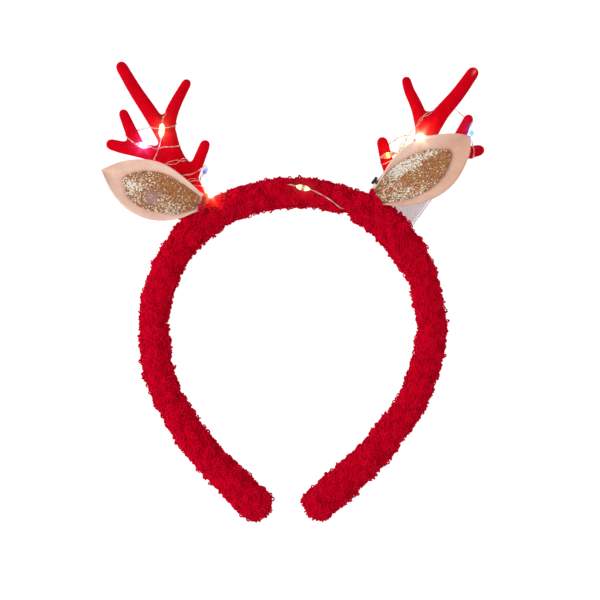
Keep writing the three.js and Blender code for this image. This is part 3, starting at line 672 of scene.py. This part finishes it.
def add_studio():
    """An even white sky and soft lights that face the object."""
    world = bpy.data.worlds.new("studio")
    world.use_nodes = True
    sky = world.node_tree.nodes["Background"].inputs
    sky["Color"].default_value = (1, 1, 1, 1)
    sky["Strength"].default_value = WORLD_STRENGTH
    bpy.context.scene.world = world
    for name, place, watts in PANELS:
        data = bpy.data.lights.new(name, "AREA")
        data.size = PANEL_SIDE
        data.energy = watts
        panel = new_object(name, data)
        panel.location = place
        panel.rotation_euler = (-Vector(place)).to_track_quat("-Z", "Y").to_euler()
        panel.visible_camera = False
    bpy.context.scene.view_settings.view_transform = "Standard"


def add_glow():
    """Camera bloom and short rays round the lit drops, far above the brightness of the white floor."""
    scene = bpy.context.scene
    scene.use_nodes = True
    tree = scene.node_tree
    for node in list(tree.nodes):
        tree.nodes.remove(node)
    image = tree.nodes.new("CompositorNodeRLayers").outputs["Image"]
    for kind, values in GLARES.items():
        glare = tree.nodes.new("CompositorNodeGlare")
        glare.glare_type = kind
        glare.quality = "HIGH"
        for key, value in values.items():
            glare.inputs[key].default_value = value
        tree.links.new(image, glare.inputs["Image"])
        image = glare.outputs["Image"]
    output = tree.nodes.new("CompositorNodeComposite")
    tree.links.new(image, output.inputs["Image"])


# Ear outlines

def outline_reader(rows):
    along, upper, lower = np.array(rows).T
    upper, lower = upper / MM_PER_M, lower / MM_PER_M
    return along[0], along[-1], smooth_reader(along, upper), smooth_reader(along, lower)


OUTLINES = {(side, leaf): outline_reader(EARS[side][leaf]) for side in EARS for leaf in ("felt", "lining")}


def ear_axes(side):
    """The foot of an ear in plan, its directions along its fold and above it, and its length."""
    ear = EARS[side]
    aim = math.radians(ear["aim"])
    forward = np.array([math.cos(aim), math.sin(aim), 0])
    base = np.array([*ear["base"], 0]) / MM_PER_M
    return base, forward, np.cross(UP, forward) * SIGNS[side], ear["length"] / MM_PER_M


def ear_points(side, along, across, height):
    """Points of an ear: across is positive above the fold, height is taken in front of the felt's back."""
    base, forward, above, length = ear_axes(side)
    _, _, upper, lower = OUTLINES[side, "felt"]
    half = np.maximum(np.where(across > 0, upper(along), lower(along)), LEAST_HALF)
    share = np.minimum(np.abs(across) / half, CUP_LIMIT)
    cup = np.minimum(EAR_CUP[0] + (EAR_CUP[1] - EAR_CUP[0]) * along, half) * share ** EARS[side]["fold"]
    way = along * length
    rise = EAR_BASE_Z + EAR_LEAN * way + cup + height
    return base + way[:, None] * forward + across[:, None] * above + rise[:, None] * UP


# Band

def bulge(value):
    return np.sign(value) * np.abs(value) ** (2 / BAND_SQUARENESS)


def band_line():
    """Places along the middle line, from the left end to the right: way, x, y, sweep and half thickness."""
    rows = []
    for side, sign in SIGNS.items():
        x, y, turned_by, way, thickness = 0.0, BAND_CROWN_Y, 0.0, 0.0, BAND_CROWN_THICKNESS
        rows.append((way, x, y, turned_by, thickness / 2))
        for arc in BAND_ARCS[side]:
            radius = arc["radius"]
            length = radius * math.radians(arc["sweep"])
            start = math.radians(turned_by)
            for share in np.linspace(0, 1, int(length / LINE_STEP) + 1)[1:]:
                angle = math.radians(turned_by + arc["sweep"] * share)
                forward = x + radius * (math.sin(angle) - math.sin(start))
                height = y + radius * (math.cos(angle) - math.cos(start))
                half = (thickness + (arc["thickness"] - thickness) * share) / 2
                rows.append((sign * (way + length * share), sign * forward, height, sign * angle, half))
            x, y = sign * rows[-1][1], rows[-1][2]
            turned_by += arc["sweep"]
            way += length
            thickness = arc["thickness"]
    rows = np.array(rows)
    order = np.argsort(rows[:, 0], kind="stable")
    return rows[order].T


LINE_WAY, LINE_X, LINE_Y, LINE_SWEEP, LINE_HALF = band_line()
STRAY_READERS = {side: smooth_reader(*zip(*rows)) for side, rows in STRAYS.items()}


def stray(way):
    """How far the band lies outside its arcs at a way along it."""
    place = np.abs(way) * MM_PER_M
    return np.where(way < 0, STRAY_READERS["left"](place), STRAY_READERS["right"](place)) / MM_PER_M


def band_frame(way):
    """Middle point, outward direction and heading of the band at a way along it."""
    sweep = np.interp(way, LINE_WAY, LINE_SWEEP)
    zero = np.zeros_like(sweep)
    middle = np.stack([np.interp(way, LINE_WAY, LINE_X), np.interp(way, LINE_WAY, LINE_Y),
                       zero + BAND_HALF_DEPTH], axis=-1)
    outward = np.stack([np.sin(sweep), np.cos(sweep), zero], axis=-1)
    heading = np.stack([np.cos(sweep), -np.sin(sweep), zero], axis=-1)
    return middle + stray(way)[:, None] * outward, outward, heading


def swell(way, around):
    """How much further the pile reaches at the front of the band's outer side: outwards and up."""
    sweep = np.degrees(np.interp(way, LINE_WAY, LINE_SWEEP))
    out, up = np.zeros_like(sweep), np.zeros_like(sweep)
    for row in SWELLS:
        inside = ease(sweep, row["first"] - row["edge"], row["first"] + row["edge"])
        inside = inside * ease(-sweep, -row["last"] - row["edge"], -row["last"] + row["edge"])
        out += row["out"] * inside * ease(np.sin(around), *OUT_RISE) * (np.cos(around) > 0)
        up += row["up"] * inside * ease(np.sin(around), *UP_RISE) * ease(np.cos(around), *UP_RISE)
    return out, up


def pinch(way, around):
    """How far the band's inner side is drawn in."""
    sweep = np.degrees(np.interp(way, LINE_WAY, LINE_SWEEP))
    depth = sum(row["depth"] * np.exp(-((sweep - row["sweep"]) / row["reach"]) ** 2) for row in PINCHES)
    return depth * (np.cos(around) < 0)


def band_skin(way, around, size, inset):
    """Points, normals and headings of the band's skin, drawn in by inset and shrunk by size at an end."""
    middle, outward, heading = band_frame(way)
    half = np.interp(way, LINE_WAY, LINE_HALF)
    out, up = swell(way, around)
    out = ((half - inset) * size + out - pinch(way, around)) * bulge(np.cos(around))
    rise = (BAND_HALF_DEPTH - inset) * size * bulge(np.sin(around)) + up
    points = middle + out[:, None] * outward + rise[:, None] * UP
    normals = unit((bulge(np.cos(around)) / half)[:, None] * outward
                   + (bulge(np.sin(around)) / BAND_HALF_DEPTH)[:, None] * UP)
    return points, normals, heading


def end_cap(size):
    """How far a rounded end reaches at a share of its section."""
    return (BAND_END_LENGTH - PAD_INSET) * np.sqrt(1 - size ** 2)


def knobs(points):
    """How high the cloth's knobs stand at some points, from 0 in the pits to 1."""
    heights = []
    for point in points:
        distances, _ = noise.voronoi(Vector(point) / KNOB_SIZE)
        heights.append(1 - min(distances[0], PIT_DISTANCE) / PIT_DISTANCE)
    return np.array(heights)


def add_padding():
    """The padding under the curls: a closed knobbly tube with rounded ends."""
    first, last = LINE_WAY[0], LINE_WAY[-1]
    stations = [(way, 1.0, 0.0) for way in np.linspace(first, last, int((last - first) / PAD_STEP))]
    for size in PAD_END_SIZES:
        stations.insert(0, (first, size, -end_cap(size)))
        stations.append((last, size, end_cap(size)))
    around = ring_angles(PAD_SIDES, 0.5)
    rings = []
    for way, size, forward in stations:
        points, normals, heading = band_skin(np.full(PAD_SIDES, way), around, size, PAD_INSET)
        points = points + forward * heading
        rings.append(points + KNOB_HEIGHT * (knobs(points) - KNOB_MEAN)[:, None] * normals * size)
    points = np.concatenate(rings)
    points[:, 2] = np.maximum(points[:, 2], PAD_FLOOR_GAP)
    faces = closed_faces(len(rings), PAD_SIDES)
    padding = add_piece("band_padding", points, faces, padding_material())
    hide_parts("band")


# Curls

def evenly_spread(points, spacing):
    """Indices of points that keep a spacing from each other, first come first kept."""
    cells, kept = {}, []
    keys = np.floor(points / spacing).astype(int)
    for index, (point, key) in enumerate(zip(points, keys)):
        near = [other for dx in (-1, 0, 1) for dy in (-1, 0, 1) for dz in (-1, 0, 1)
                for other in cells.get((key[0] + dx, key[1] + dy, key[2] + dz), ())]
        if all(np.sum((points[other] - point) ** 2) > spacing ** 2 for other in near):
            cells.setdefault(tuple(key), []).append(index)
            kept.append(index)
    return np.array(kept)


def curl_roots():
    """Where curls grow on the padding: places, normals, headings, ways along the band and knob heights."""
    way = rng.uniform(LINE_WAY[0], LINE_WAY[-1], CURL_TRIES)
    around = rng.uniform(0, TURN, CURL_TRIES)
    sides = band_skin(way, around, 1.0, PAD_INSET)
    end_way = np.repeat([LINE_WAY[0], LINE_WAY[-1]], END_CURL_TRIES)
    sign = np.sign(end_way)
    size = np.sqrt(rng.uniform(0, 1, len(end_way)))
    end_around = rng.uniform(0, TURN, len(end_way))
    end_points, end_normals, end_heading = band_skin(end_way, end_around, size, PAD_INSET)
    end_points = end_points + (sign * end_cap(size))[:, None] * end_heading
    end_normals = unit(end_normals * size[:, None] + end_heading * (sign * np.sqrt(1 - size ** 2))[:, None])
    ends = end_points, end_normals, end_heading
    points, normals, heading = (np.concatenate(pair) for pair in zip(sides, ends))
    way = np.concatenate([way, end_way])
    shown = (normals[:, 2] > UNDERSIDE) | (rng.uniform(0, 1, len(points)) < UNDERSIDE_SHARE)
    kept = np.nonzero(shown)[0]
    kept = kept[evenly_spread(points[kept], CURL_SPACING)]
    points, normals = points[kept], normals[kept]
    height = knobs(points)
    roots = points + KNOB_HEIGHT * (height - KNOB_MEAN)[:, None] * normals
    return roots, normals, heading[kept], way[kept], height


def foot_roots():
    """Where curls cover the cut feet of the ears, as curl_roots gives them."""
    rows = []
    for side, sign in SIGNS.items():
        first, _, upper, lower = OUTLINES[side, "felt"]
        across = rng.uniform(-lower(first), upper(first), FOOT_CURLS)
        along = first + rng.uniform(*FOOT_CURL_ALONG, FOOT_CURLS)
        points = ear_points(side, along, across, rng.uniform(*FOOT_CURL_HEIGHT, FOOT_CURLS))
        _, forward, _, _ = ear_axes(side)
        normals = np.tile(unit(UP - FOOT_CURL_LEAN * forward), (FOOT_CURLS, 1))
        heading = np.tile(np.cross(forward, UP), (FOOT_CURLS, 1))
        way = np.full(FOOT_CURLS, sign * BAND_ARCS[side][0]["radius"] * math.radians(FOOT_CURL_SWEEP))
        rows.append((points, normals, heading, way, rng.uniform(*FOOT_CURL_TONES, FOOT_CURLS)))
    return tuple(np.concatenate(column) for column in zip(*rows))


def clear_of_solids(points, distance):
    """True for points that keep a distance from the antlers, lights and case; the ears are tucked in."""
    clear = np.ones(len(points), dtype=bool)
    for name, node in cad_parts.items():
        if name in ("band", "light_wire") or name.startswith("ear_"):
            continue
        tree = tree_of(node)
        for index, point in enumerate(points):
            if clear[index] and tree.find_nearest(Vector(point), distance)[0] is not None:
                clear[index] = False
    return clear


def curl_points(roots, normals, heading):
    """Points of every curl, ring by ring along its yarn."""

    def spread(low, high):
        return rng.uniform(low, high, len(roots))

    radius, turns, drift = spread(*CURL_RADIUS), spread(*CURL_TURNS), spread(-CURL_DRIFT, CURL_DRIFT)
    long = spread(0, 1) < LONG_CURL_SHARE
    tilt = np.radians(np.where(long, LONG_CURL_TILT, spread(*CURL_TILT)))
    spin, start, phase = spread(0, TURN), spread(0, TURN), spread(0, TURN)[:, None]
    beat = spread(*CURL_BEAT)
    lift = spread(*CURL_LIFT) + LONG_CURL_LIFT * long
    flat = turned(spin, heading, np.cross(normals, heading))
    rise = turned(tilt, np.cross(normals, flat), normals)
    axis = np.cross(flat, rise)
    share = np.linspace(0, 1, CURL_POINTS)
    off_middle = np.abs(2 * share - 1)
    angle = start[:, None] + TURN * turns[:, None] * share
    reach = radius[:, None] * (1 + CURL_WOBBLE * np.sin(2 * angle + phase))
    aside = drift[:, None] * (share - 0.5) + CURL_SWAY * np.sin(beat[:, None] * angle + phase)
    sunk = lift[:, None] - CURL_DIP * off_middle ** 4
    path = (roots[:, None] + sunk[..., None] * normals[:, None] + aside[..., None] * axis[:, None]
            + reach[..., None] * turned(angle, flat[:, None], rise[:, None]))
    ahead = unit(np.gradient(path, axis=1))
    outer = unit(np.cross(ahead, axis[:, None]))
    inner = np.cross(ahead, outer)
    thick = spread(*YARN_RADIUS)[:, None] * (1 - (1 - YARN_END) * off_middle ** 3)
    around = turned(ring_angles(CURL_SIDES, 0.5), inner[:, :, None], outer[:, :, None])
    points = path[:, :, None] + thick[..., None, None] * around
    points[..., 2] = np.maximum(points[..., 2], FLOOR_GAP)
    return points


def add_curls():
    roots, normals, heading, way, height = (np.concatenate(pair) for pair in zip(curl_roots(), foot_roots()))
    points = curl_points(roots, normals, heading)
    # A curl's tone is its knob height plus a random spread, so curls in the pits between knobs are painted
    # darker as shade
    tone = np.clip(height + rng.uniform(*CURL_TONES, len(roots)), 0, 1)
    clear = clear_of_solids(points.mean(axis=(1, 2)), CURL_CLEARANCE)
    material = yarn_material()
    one_curl = closed_faces(CURL_POINTS, CURL_SIDES)
    corners = CURL_POINTS * CURL_SIDES
    edges = np.linspace(LINE_WAY[0], LINE_WAY[-1], len(CURL_PIECES) + 1)
    stretch_of = np.clip(np.searchsorted(edges, way) - 1, 0, len(CURL_PIECES) - 1)
    for index, stretch in enumerate(CURL_PIECES):
        chosen = clear & (stretch_of == index)
        faces = copies(one_curl, int(chosen.sum()), corners)
        tones = np.repeat(tone[chosen], corners)
        add_piece(f"curls_{stretch}", points[chosen].reshape(-1, 3), faces, material, tones)


# Antlers

def highlight_and_wear_share(mesh, side):
    """How much of the pale spot each point of an antler takes, 1 in its middle and only on the front; the
    spot is partly rubbing and partly a painted highlight.
    """
    points = np.empty(len(mesh.vertices) * 3, dtype=np.float32)
    mesh.vertices.foreach_get("co", points)
    points = points.reshape(-1, 3)
    along_x, along_y = HIGHLIGHT_AND_WEAR_SPOT["along"]
    away = points[:, :2] - np.array(HIGHLIGHT_AND_WEAR_SPOT["at"])
    along = away @ np.array([along_x, along_y]) / HIGHLIGHT_AND_WEAR_SPOT["length"]
    across = away @ np.array([-along_y, along_x]) / HIGHLIGHT_AND_WEAR_SPOT["width"]
    in_front = points[:, 2] > points[:, 2].mean()
    return np.exp(-along ** 2 - across ** 2) * (side == HIGHLIGHT_AND_WEAR_SPOT["side"]) * in_front


def add_modifier(piece, kind, **values):
    modifier = piece.modifiers.new(kind.lower(), kind)
    for key, value in values.items():
        setattr(modifier, key, value)


def add_antlers():
    """The antlers with their edges rounded over and their forks filled by the flock."""
    material = flock_material()
    antlers = []
    for side in SIGNS:
        rough = new_object("rough_antler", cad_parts[f"antler_{side}"].data.copy())
        add_modifier(rough, "REMESH", mode="VOXEL", voxel_size=ANTLER_VOXEL)
        add_modifier(rough, "DISPLACE", strength=FORK_FILL, mid_level=0)
        add_modifier(rough, "REMESH", mode="VOXEL", voxel_size=ANTLER_VOXEL)
        add_modifier(rough, "DISPLACE", strength=ANTLER_SWELL - FORK_FILL, mid_level=0)
        add_modifier(rough, "SMOOTH", factor=0.5, iterations=ANTLER_SMOOTHING)
        rounded = rough.evaluated_get(bpy.context.evaluated_depsgraph_get())
        mesh = bpy.data.meshes.new_from_object(rounded)
        bpy.data.objects.remove(rough)
        paint(mesh, highlight_and_wear_share(mesh, side))
        antler = place_mesh(f"flocked_antler_{side}", mesh, material)
        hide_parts(f"antler_{side}")
        antlers.append(antler)
    return antlers


# Ears

def leaf_mesh(side, leaf, back, front):
    """A closed leaf: each row is a ring over the back, a rounded rim, the front and the other rim."""
    first, last, upper, lower = OUTLINES[side, leaf]
    shares = np.linspace(-1, 1, LEAF_COLUMNS + 1)
    rim = RIM_SHARE * (front - back)
    rings = []
    for along in np.linspace(first, last, LEAF_ROWS + 1):
        widths = np.where(shares > 0, max(upper(along), LEAST_WIDTH), max(lower(along), LEAST_WIDTH))
        across = shares * widths
        inner = shares * np.maximum(widths - rim, widths / 2)
        place = np.full_like(across, along)
        backs = ear_points(side, place, inner, back)
        fronts = ear_points(side, place, inner, front)
        rims = ear_points(side, place[[0, -1]], across[[0, -1]], (front + back) / 2)
        rings.append(np.concatenate([backs, rims[1:], fronts[::-1], rims[:1]]))
    return np.concatenate(rings), closed_faces(len(rings), len(rings[0]))


def flake_mesh(side):
    """Six-sided glitter flakes on a lining, each tilted its own way: corners, faces and colours."""
    first, last, upper, lower = OUTLINES[side, "lining"]
    along = first + (last - first) * rng.uniform(*FLAKE_SPAN, FLAKE_TRIES)
    share = rng.uniform(-1, 1, FLAKE_TRIES)
    width = np.where(share > 0, upper(along), lower(along))
    kept = np.nonzero(rng.uniform(0, WIDEST_LINING, FLAKE_TRIES) < width)[0][:FLAKES]
    along, share, across = along[kept], share[kept], (share * width)[kept]
    number = len(kept)
    height = LINING_LIFT + LINING_THICKNESS
    points = ear_points(side, along, across, height)
    step = 0.0002
    _, _, _, length = ear_axes(side)
    ahead = unit(ear_points(side, along + step / length, across, height) - points)
    aside = unit(ear_points(side, along, across + step, height) - points)
    normals = unit(np.cross(ahead, aside))
    normals *= np.sign(normals[:, 2:3])
    tilt = np.radians(FLAKE_TILT) * np.abs(rng.normal(0, FLAKE_TILT_SPREAD, number))
    spin = rng.uniform(0, TURN, number)
    across_way = unit(np.cross(normals, ahead))
    facing = unit(turned(tilt, normals, turned(spin, ahead, across_way)))
    one_way = unit(np.cross(facing, across_way))
    other_way = np.cross(facing, one_way)
    radius = rng.uniform(*FLAKE_RADIUS, number)[:, None, None]
    rim = radius * turned(ring_angles(FLAKE_SIDES), one_way[:, None], other_way[:, None])
    bottom = points[:, None] + rim
    corners = np.concatenate([bottom, bottom + FLAKE_THICKNESS * facing[:, None]], axis=1)
    faces = copies(closed_faces(2, FLAKE_SIDES), number, 2 * FLAKE_SIDES)
    colours = np.repeat(flake_colours(side, along, share), 2 * FLAKE_SIDES, axis=0)
    return corners.reshape(-1, 3), faces, colours


def nearness(zone, along, share):
    """The level of a zone on a lining in its middle, falling to 0 beyond its reach."""
    zone_along, zone_across, reach, level = zone
    ahead, aside = (along - zone_along) / reach, (share - zone_across) / (ZONE_WIDTH * reach)
    return level * np.exp(-ahead ** 2 - aside ** 2)


def flake_colours(side, along, share):
    """Cream flakes painted as glints where the lining is taken to catch light, tan and brown elsewhere,
    browner where shade along the fold is painted, and a few dark ones.
    """
    shine = np.full(len(along), PAINTED_GLINT_BASE)
    for zone in PAINTED_GLINT_ZONES[side]:
        shine += nearness(zone, along, share)
    shine = np.clip(shine, *PAINTED_GLINT_LIMITS)
    draw = rng.uniform(0, 1, len(along))
    tan = np.minimum(TAN_BASE + TAN_GROWTH * shine, 1 - shine)
    limits = np.stack([shine, shine + tan, np.full(len(along), DARK_FROM)])
    kind = (draw > limits).sum(axis=0)
    colours = np.array(FLAKE_PALETTE)[kind] * rng.uniform(*FLAKE_TONES, (len(along), 1))
    # Painted magenta light from the nearby drop
    if side == PAINTED_MAGENTA_TINGE["side"]:
        colours += nearness(PAINTED_MAGENTA_TINGE["zone"], along, share)[:, None] * (np.array(PAINTED_MAGENTA_TINGE["colour"]) - colours)
    return np.clip(colours, 0, 1)


def painted_felt_light(side, points):
    # The felt's tone paints light and shade: a level for each ear, paler above the fold, and paler or darker
    # towards the tip
    base, forward, above, length = ear_axes(side)
    along, across = (points - base) @ forward / length, (points - base) @ above
    level, more_above, more_at_tip = EARS[side]["pale"]
    level = level + more_above * np.clip(across / PAINTED_LIGHT_REACH, 0, 1)
    return level + more_at_tip * np.clip(2 * along - 1, 0, 1)


def add_ears():
    felt, cloth, flake_look = felt_material(), glitter_cloth_material(), flake_material()
    for side in EARS:
        points, faces = leaf_mesh(side, "felt", 0, FELT_THICKNESS)
        leaf = add_piece(f"felt_ear_{side}", points, faces, felt, painted_felt_light(side, points))
        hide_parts(f"ear_{side}")
        points, faces = leaf_mesh(side, "lining", LINING_LIFT, LINING_LIFT + LINING_THICKNESS)
        lining = add_piece(f"glitter_lining_{side}", points, faces, cloth)
        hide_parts(f"ear_lining_{side}")
        points, faces, colours = flake_mesh(side)
        flakes = add_piece(f"glitter_flakes_{side}", points, faces, flake_look, colours,
                           shaded_smooth=False)


# Battery box and switch

def dress_case():
    for name, material in (("battery_box", case_material()), ("switch_body", black_material()),
                           ("switch_slider", black_material())):
        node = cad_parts[name]
        node.data.materials.clear()
        node.data.materials.append(material)


# Light string

def crown_point(sweep, out, z):
    """A point at a sweep from the crown and a distance outwards from the band's middle line."""
    radius = BAND_ARCS["left" if sweep < 0 else "right"][0]["radius"]
    turn = math.radians(sweep)
    y = BAND_CROWN_Y - radius + (radius + out) * math.cos(turn)
    return np.array([(radius + out) * math.sin(turn), y, z])


def on_band(sweep, around, lift):
    """A point at a sweep from the crown, an angle round the band's section and a lift off the padding."""
    angle = math.radians(around)
    depth = BAND_HALF_DEPTH / bulge(math.cos(FLAT_HALF_ANGLE))
    out = (BAND_CROWN_THICKNESS / 2 + lift) * bulge(math.cos(angle))
    rise = (depth + lift) * bulge(math.sin(angle))
    return crown_point(sweep, out, BAND_HALF_DEPTH + rise)


def straight_runs():
    """Where the wire runs straight: from one point to another through each drop and hole."""
    runs = {}
    for light in LIGHTS:
        half = unit(np.array(light["aim"], dtype=float)) * DROP_LEAD
        runs[light["name"]] = (light["at"] - half, light["at"] + half)
    runs["tunnel"] = [crown_point(TUNNEL["sweep"], TUNNEL[end], TUNNEL["z"]) for end in ("outer", "inner")]
    turned_box = Matrix.Rotation(math.radians(BOX_TURN), 3, "Z")
    runs["box_hole"] = []
    for x in (BOX_END + BOX_HOLE["inside"], BOX_END - BOX_HOLE["outside"]):
        place = turned_box @ Vector((x, BOX_HOLE["out"], BOX_HOLE["z"]))
        runs["box_hole"].append(np.array(place) + np.array([*BOX_INNER_MIDDLE, 0]))
    return runs


def wire_path():
    """Evenly spaced points of the wire's middle line."""
    runs = straight_runs()
    knots = []
    for through, points in WIRE_ROUTE.items():
        start, end = runs[through]
        knots += [(start, unit(end - start)), (end, unit(end - start))]
        knots += [(np.array(point) / MM_PER_M, None) for point in points]
        places = BAND_ROUTE.get(through, ())
        knots += [(on_band(sweep, around, lift / MM_PER_M), None) for sweep, around, lift in places]
    headings = []
    for index, (_, heading) in enumerate(knots):
        before, after = knots[max(index - 1, 0)][0], knots[min(index + 1, len(knots) - 1)][0]
        headings.append(unit(after - before) if heading is None else heading)
    path = []
    for index in range(len(knots) - 1):
        start, end = knots[index][0], knots[index + 1][0]
        reach = np.linalg.norm(end - start) / 3
        near, far = start + headings[index] * reach, end - headings[index + 1] * reach
        share = np.linspace(0, 1, max(int(3 * reach / STRAND_STEP), 2), endpoint=False)[:, None]
        rest = 1 - share
        path.append(rest ** 3 * start + 3 * rest ** 2 * share * near
                    + 3 * rest * share ** 2 * far + share ** 3 * end)
    return np.concatenate(path)


def nearest_antler(path, trees):
    """How far each point of a path is from the antlers, negative inside, and the way straight off them."""
    far = 2 * HUG_REACH
    distances, normals = np.full(len(path), far), np.tile(UP, (len(path), 1))
    for index, point in enumerate(path):
        for tree in trees:
            near, normal, _, _ = tree.find_nearest(Vector(point), far)
            if near is not None:
                distance = (Vector(point) - near).dot(normal)
                if distance < distances[index]:
                    distances[index], normals[index] = distance, normal
    return distances, normals


def draw_tight(path, trees):
    """The wire's path drawn up against the antlers it winds round, but for the lights' own stretches."""
    free = np.ones(len(path))
    for light in LIGHTS:
        free = np.minimum(free, ease(np.linalg.norm(path - light["at"], axis=1), *HUG_FREE))
    for _ in range(HUG_ROUNDS):
        distances, normals = nearest_antler(path, trees)
        held = free * (1 - ease(distances, HUG_NEAR, HUG_REACH))
        path = path + (held * (HUG_GAP - distances))[:, None] * normals
        smooth(path)
    return path, held, normals


def add_wire(antlers):
    """Two copper strands that twist round each other, lie flat on the antlers and bow apart at the drops."""
    path, held, away = draw_tight(wire_path(), [tree_of(antler) for antler in antlers])
    way = np.concatenate([[0], np.cumsum(np.linalg.norm(np.diff(path, axis=0), axis=1))])
    spots = [(light["at"], DROP_BOW, DROP_SPREAD) for light in LIGHTS]
    spots += [(row[:3], row[3], row[4]) for row in np.array(WIRE_EYES) / MM_PER_M]
    gap = np.full(len(path), TWIN_GAP)
    for at, reach, spread in spots:
        near = np.argmin(np.linalg.norm(path - at, axis=1))
        bow = np.exp(-((way - way[near]) / reach) ** 2)
        gap = np.maximum(gap, TWIN_GAP + (spread - TWIN_GAP) * bow)
    heading = unit(np.gradient(path, axis=0))
    side = unit(np.cross(heading, UP) + TINY)
    wide = np.clip((gap - TWIN_GAP) / (DROP_SPREAD - TWIN_GAP), 0, 1)
    twist = TURN * way / TWIST_PITCH
    twist = np.where(wide > LEVEL_FROM, np.round(twist / math.pi) * math.pi, twist)
    offset = turned(twist, side, np.cross(side, heading))
    flat = unit(np.cross(heading, away) + TINY)
    flat *= np.where(np.sum(flat * offset, axis=1) < 0, -1, 1)[:, None]
    offset = (gap / 2)[:, None] * unit(offset + held[:, None] * (flat - offset))
    for _ in range(TWIST_SMOOTHING):
        smooth(offset)
    strands = [tube(path + sign * offset, STRAND_RADIUS, STRAND_SIDES) for sign in (1, -1)]
    faces = copies(closed_faces(len(path), STRAND_SIDES), 2, len(path) * STRAND_SIDES)
    wire = add_piece("copper_strands", np.concatenate(strands), faces, wire_material())
    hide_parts("light_wire")


def add_lights():
    """Clear drops with a chip inside, and a small lamp over each that lights what is around it."""
    share = np.sin(np.linspace(-math.pi / 2, math.pi / 2, DROP_RINGS))
    share[[0, -1]] *= DROP_TIP
    drop_shape = lathe(DROP_RADIUS * (1 - share ** 2) ** DROP_POINT, share * DROP_LENGTH / 2, DROP_SIDES)
    drop_faces, chip_faces = closed_faces(DROP_RINGS, DROP_SIDES), closed_faces(DROP_RINGS, CHIP_SIDES)
    for light in LIGHTS:
        name = light["name"]
        turn = np.array(Vector(light["aim"]).to_track_quat("Z", "Y").to_matrix())
        over_chip = np.exp(-(drop_shape[:, 2] / light["reach"]) ** 2)
        tones = light["ends"] + (light["middle"] - light["ends"]) * over_chip
        drop = add_piece(f"{name}_resin", drop_shape @ turn.T + light["at"], drop_faces,
                         resin_material(light), tones)
        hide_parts(name)
        radii = WIDE_CHIPS.get(name, CHIP_RADIUS) * np.sqrt(1 - share ** 2) + CHIP_TIP
        chip_shape = lathe(radii, share * CHIP_LENGTH / 2, CHIP_SIDES)
        add_piece(f"{name}_chip", chip_shape @ turn.T + light["at"], chip_faces,
                  chip_material(light))
        data = bpy.data.lights.new(f"shine_{name}", "POINT")
        data.energy = light["lamp"]
        data.color = light["cast"]
        data.shadow_soft_size = LAMP_SIZE
        new_object(f"shine_{name}", data).location = light["at"] + UP * LAMP_LIFT


add_camera()
add_wire(add_antlers())
add_lights()
add_padding()
add_curls()
add_ears()
dress_case()
add_floor()
add_studio()
add_glow()
